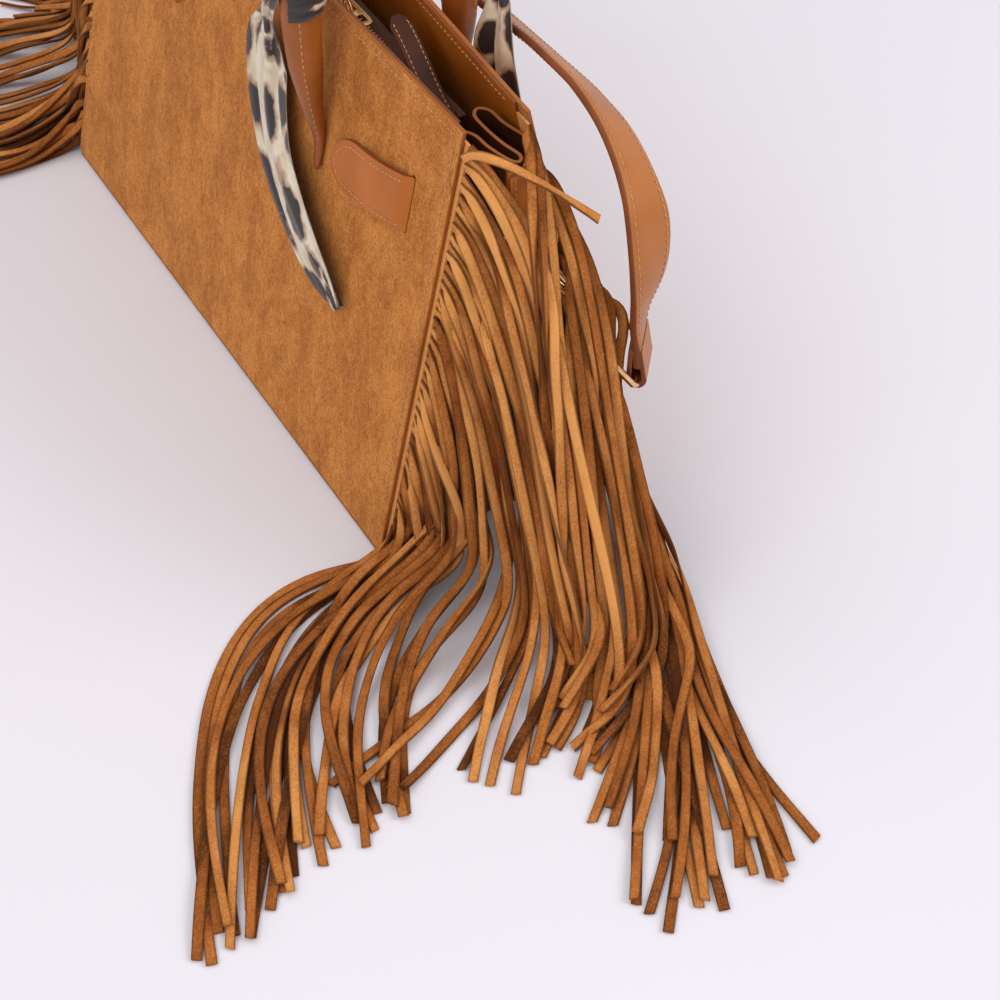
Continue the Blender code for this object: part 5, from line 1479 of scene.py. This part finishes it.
def make_ring_tab(side, sign):
    """Doubled leather that wraps the ring's bar and is sewn to the gusset's middle fold."""
    bar, _, _ = ring_seat()
    around = RING_WIRE + BAR_CLEAR
    inner, outer = [], []
    top = GUSSET_TOP - 2 * MM
    for z in np.linspace(top, BAR_Z + 3 * MM, 6):
        inner.append((bar[0] - around, z))
        outer.append((bar[0] - around - TAB_T, z))
    for turn in np.radians(np.linspace(180, 360, 25)):
        inner.append((bar[0] + around * math.cos(turn), BAR_Z + around * math.sin(turn)))
        outer.append((bar[0] + (around + TAB_T) * math.cos(turn), BAR_Z + (around + TAB_T) * math.sin(turn)))
    up_the_bar = [(0.12, 2.5), (0.35, 5), (0.62, 7.5), (0.8, 10), (0.92, 16)]
    for share, z in [*((share, BAR_Z + up * MM) for share, up in up_the_bar), (0.97, top - 1 * MM)]:
        x = bar[0] + around - share * (2 * around - 0.3 * MM)
        inner.append((x, z))
        outer.append((x + TAB_T, z))
    vs = np.linspace(-8, 8, 9) * MM
    grid_out = [[(x, bar[1] + v, z) for v in vs] for x, z in outer]
    grid_in = [[(x, bar[1] + v, z) for v in vs] for x, z in inner]
    points, faces, rim = slab(grid_out, grid_in)
    leathers = [TAN_LEATHER, EDGE_PAINT]
    tab = make_piece(f"{side}_ring_tab_leather", mirrored(points, sign), faces, leathers, rim_from=rim, sharp=60)
    soften(tab, 0.4 * MM)
    dress(tab, [f"ring_tab_{side}"])
    zs = np.linspace(BAR_Z + 9 * MM, top - 2 * MM, 20)
    rows = []
    for v in (-5.6, 5.6):
        x = bar[0] + around - 0.9 * (2 * around) + TAB_T
        line = np.stack([np.full(20, x + 0.3 * MM), np.full(20, bar[1] + v * MM), zs], axis=1)
        rows.append((mirrored(line, sign), mirrored(np.tile((1.0, 0, 0), (20, 1)), sign)))
    return rows


rows = []
for side, sign in SIDES:
    make_ring_and_hook(side, sign)
    rows += make_ring_tab(side, sign)
dress(stitch_rows("ring_tab_stitches", rows, pitch=3.0 * MM, length=2.1 * MM, thick=0.32 * MM))

# %% [markdown]
# Inside, a flat pouch divides the bag and a zip closes it. Its leather hangs in soft waves, the tapes are woven, and every
# tooth is its own small block, copied along the tape. The zip's leather end tab lifts clear of the pouch.
# %% Centre pocket and zip
POCKET_HALF_L, POCKET_TOP, POCKET_TOP_D, POCKET_LOW_D, POCKET_WALL = 132.0 * MM, 198.0 * MM, 9.0 * MM, 5.0 * MM, 1.2 * MM
SLIDER_X, ZIP_HALF_L, TOOTH_PITCH, TAPE_T = 38.0 * MM, 124.0 * MM, 2.5 * MM, 1.0 * MM

# Outlines seen from above, in millimetres: a tooth with its waist and head, and the slider.
TOOTH_OUTLINE = (
    (-0.9, 2.6), (0.9, 2.6), (0.9, 0.9), (0.55, 0.1), (0.75, -0.5),
    (0.35, -0.8), (-0.35, -0.8), (-0.75, -0.5), (-0.55, 0.1), (-0.9, 0.9),
)
SLIDER_OUTLINE = ((-6, -2.6), (-4, -4.2), (3, -4.6), (6, -3.4), (6, 3.4), (3, 4.6), (-4, 4.2), (-6, 2.6))


def make_pocket():
    def section(z, deep, inset):
        x = POCKET_HALF_L - inset
        run = np.linspace(-x + 2 * MM, x - 2 * MM, 60)
        sag = 0.5 * MM * np.sin(run * 75 + z * 30)
        front = [(a, -(deep + s), z) for a, s in zip(run, sag)]
        back = [(a, deep - s, z) for a, s in zip(run[::-1], sag[::-1])]
        return [(-x, -deep * 0.6, z), *front, (x, -deep * 0.6, z), (x, deep * 0.6, z), *back, (-x, deep * 0.6, z)]

    zs = np.linspace(LOW, POCKET_TOP, 20)
    depth = np.interp(zs, (LOW, POCKET_TOP), (POCKET_LOW_D, POCKET_TOP_D - 0.6 * MM))
    outside = [section(z, d, 0) for z, d in zip(zs, depth)]
    inside = [section(max(z, LOW + 4 * MM), d - POCKET_WALL, POCKET_WALL) for z, d in zip(zs[::-1], depth[::-1])]
    pocket = make_piece("pocket_leather", *loft(outside + inside), LINING_LEATHER, sharp=50)
    dress(pocket, ["centre_pocket"])
    top = POCKET_TOP + GAP
    for label, sign in (("front", -1), ("back", 1)):
        xs = np.linspace(-POCKET_HALF_L, POCKET_HALF_L, 80)
        ys = np.linspace(1.9, 9.0, 8) * MM
        wave = 0.15 * MM * np.sin(xs * 160)
        high = [[(x, sign * y, top + TAPE_T + w * (y / (9 * MM))) for x, w in zip(xs, wave)] for y in ys]
        low = [[(x, sign * y, top + w * (y / (9 * MM))) for x, w in zip(xs, wave)] for y in ys]
        tape = make_piece(f"{label}_zip_tape", *slab(high, low)[:2], TAPE, sharp=60)
        dress(tape, [f"zip_tape_{label}"])
        dress(make_teeth(label, sign, top), [f"zip_teeth_{label}"])


def make_teeth(label, sign, top):
    """Metal teeth on the tape's corded edge; the other tape's teeth sit half a pitch further on."""
    shapes, heights = [], ((0.15, 0.9), (0.6, 1.0), (1.5, 1.0), (1.9, 0.85))
    for i in range(int(2 * ZIP_HALF_L / TOOTH_PITCH)):
        x = -ZIP_HALF_L + TOOTH_PITCH * (i + (0.25 if sign < 0 else 0.75))
        if abs(x - SLIDER_X) < 1.0 * MM:
            continue
        rings = []
        for up, shrink in heights:
            rings.append([(x + a * 0.62 * MM * shrink, sign * b * MM, top + up * MM) for a, b in TOOTH_OUTLINE])
        shapes.append(loft(rings))
    return make_piece(f"{label}_zip_teeth_gilt", *join_shapes(*shapes), GILT, sharp=40)


def make_slider():
    """The slider's body, the loop on top and the puller with its two slots; the body and the puller have rounded edges.
    """
    low, thick = POCKET_TOP + GAP + TAPE_T + 1.2 * MM, 2.2 * MM
    rings = [[(SLIDER_X + px * MM, py * MM, z) for px, py in SLIDER_OUTLINE] for z in (low, low + thick)]
    body = make_piece("slider_gilt", *loft(rings), GILT, sharp=40)
    soften(body, 0.55 * MM, 3)
    foot = low + thick - 0.6 * MM
    arch = [(SLIDER_X + (-6.2 + 11.4 * t) * MM, 0, foot + 4.8 * MM * math.sin(math.pi * t)) for t in np.linspace(0, 1, 33)]
    loop = make_piece("slider_loop_gilt", *tube(arch, 0.8 * MM, 14), GILT, sharp=50)
    dress(body, ["zip_slider"], "zip_slider")
    dress(loop, [], "zip_slider")
    pin_z = low + thick + 1.2 * MM
    plate = ((-2.5, 2.2), (-1.9, 2.6), (2.0, 3.2), (16.0, 3.6), (19.6, 3.0), (20.5, 2.0))
    outline = [(px, -h) for px, h in plate] + [(px, h) for px, h in reversed(plate)]
    rings = [[(SLIDER_X + px * MM, py * MM, pin_z + dz * MM) for px, py in outline] for dz in (-0.55, 0.55)]
    puller = make_piece("puller_gilt", *loft(rings), GILT, sharp=40)
    for x0, x1, half in ((-1.3, 7.6, 1.5), (12.0, 17.6, 1.7)):
        centre, size = (SLIDER_X + (x0 + x1) / 2 * MM, 0, pin_z), ((x1 - x0) * MM, 2 * half * MM, 6 * MM)
        bpy.ops.object.select_all(action="DESELECT")
        bpy.ops.mesh.primitive_cube_add(size=1, location=centre, scale=size)
        cutter = bpy.context.object
        apply_modifier(puller, "BOOLEAN", operation="DIFFERENCE", object=cutter, solver="EXACT")
        bpy.data.objects.remove(cutter)
    soften(puller, 0.22 * MM, 2)
    dress(puller, ["zip_puller"], "zip_puller")


def make_zip_end():
    line = smooth_curve(np.array([(131, 0, 0), (124, 0, 1.0), (114, 0.5, 6), (102, 1.5, 12), (90, 2.5, 17), (80, 3, 20)]) * MM, 50)
    low, thick = POCKET_TOP + GAP + TAPE_T + 0.5 * MM, 1.8 * MM
    widths = 5.2 * MM * np.sqrt(np.clip(1 - ((np.linspace(0, 1, 50) - 0.86) / 0.14).clip(0) ** 2, 0.12, 1))
    vs = np.linspace(-1, 1, 9)
    outer, inner = [[[(x, y + v * w, low + dz + up) for v in vs] for (x, y, dz), w in zip(line, widths)] for up in (thick, 0.0)]
    points, faces, rim = slab(outer, inner)
    tab = make_piece("zip_end_leather", points, faces, [BROWN_LEATHER, EDGE_PAINT], rim_from=rim, sharp=50)
    soften(tab, 0.45 * MM)
    dress(tab, ["zip_end_tab"])
    rows = []
    for v in (-0.68, 0.68):
        path = np.array([(x, y + v * w, low + dz + thick + 0.05 * MM) for (x, y, dz), w in zip(line[3:-4], widths[3:-4])])
        rows.append((path, np.tile((0, 0, 1.0), (len(path), 1))))
    dress(stitch_rows("zip_end_stitches", rows, pitch=2.8 * MM, length=2.0 * MM, thick=0.3 * MM))


make_pocket()
make_slider()
make_zip_end()

# %% [markdown]
# The bag stands on a plain pale floor that runs on past the frame on all sides, so that only its shadow shows.
# %% Floor
bpy.ops.object.select_all(action="DESELECT")
bpy.ops.mesh.primitive_plane_add(size=8, location=(0, 0, -0.0004))
floor = bpy.context.object
floor.name = "floor"
bpy.ops.object.transform_apply(location=True, rotation=True, scale=True)
paper = Finish("floor_paper", roughness=0.85, Specular_IOR_Level=0.1)
paper.feed("Base Color", paper.mix(paper.noise(paper.place(), 3.0, 2.0), rgb(229, 226, 231), rgb(234, 231, 236)))
floor.data.materials.append(paper.material)
print(floor.name, tuple(floor.dimensions))
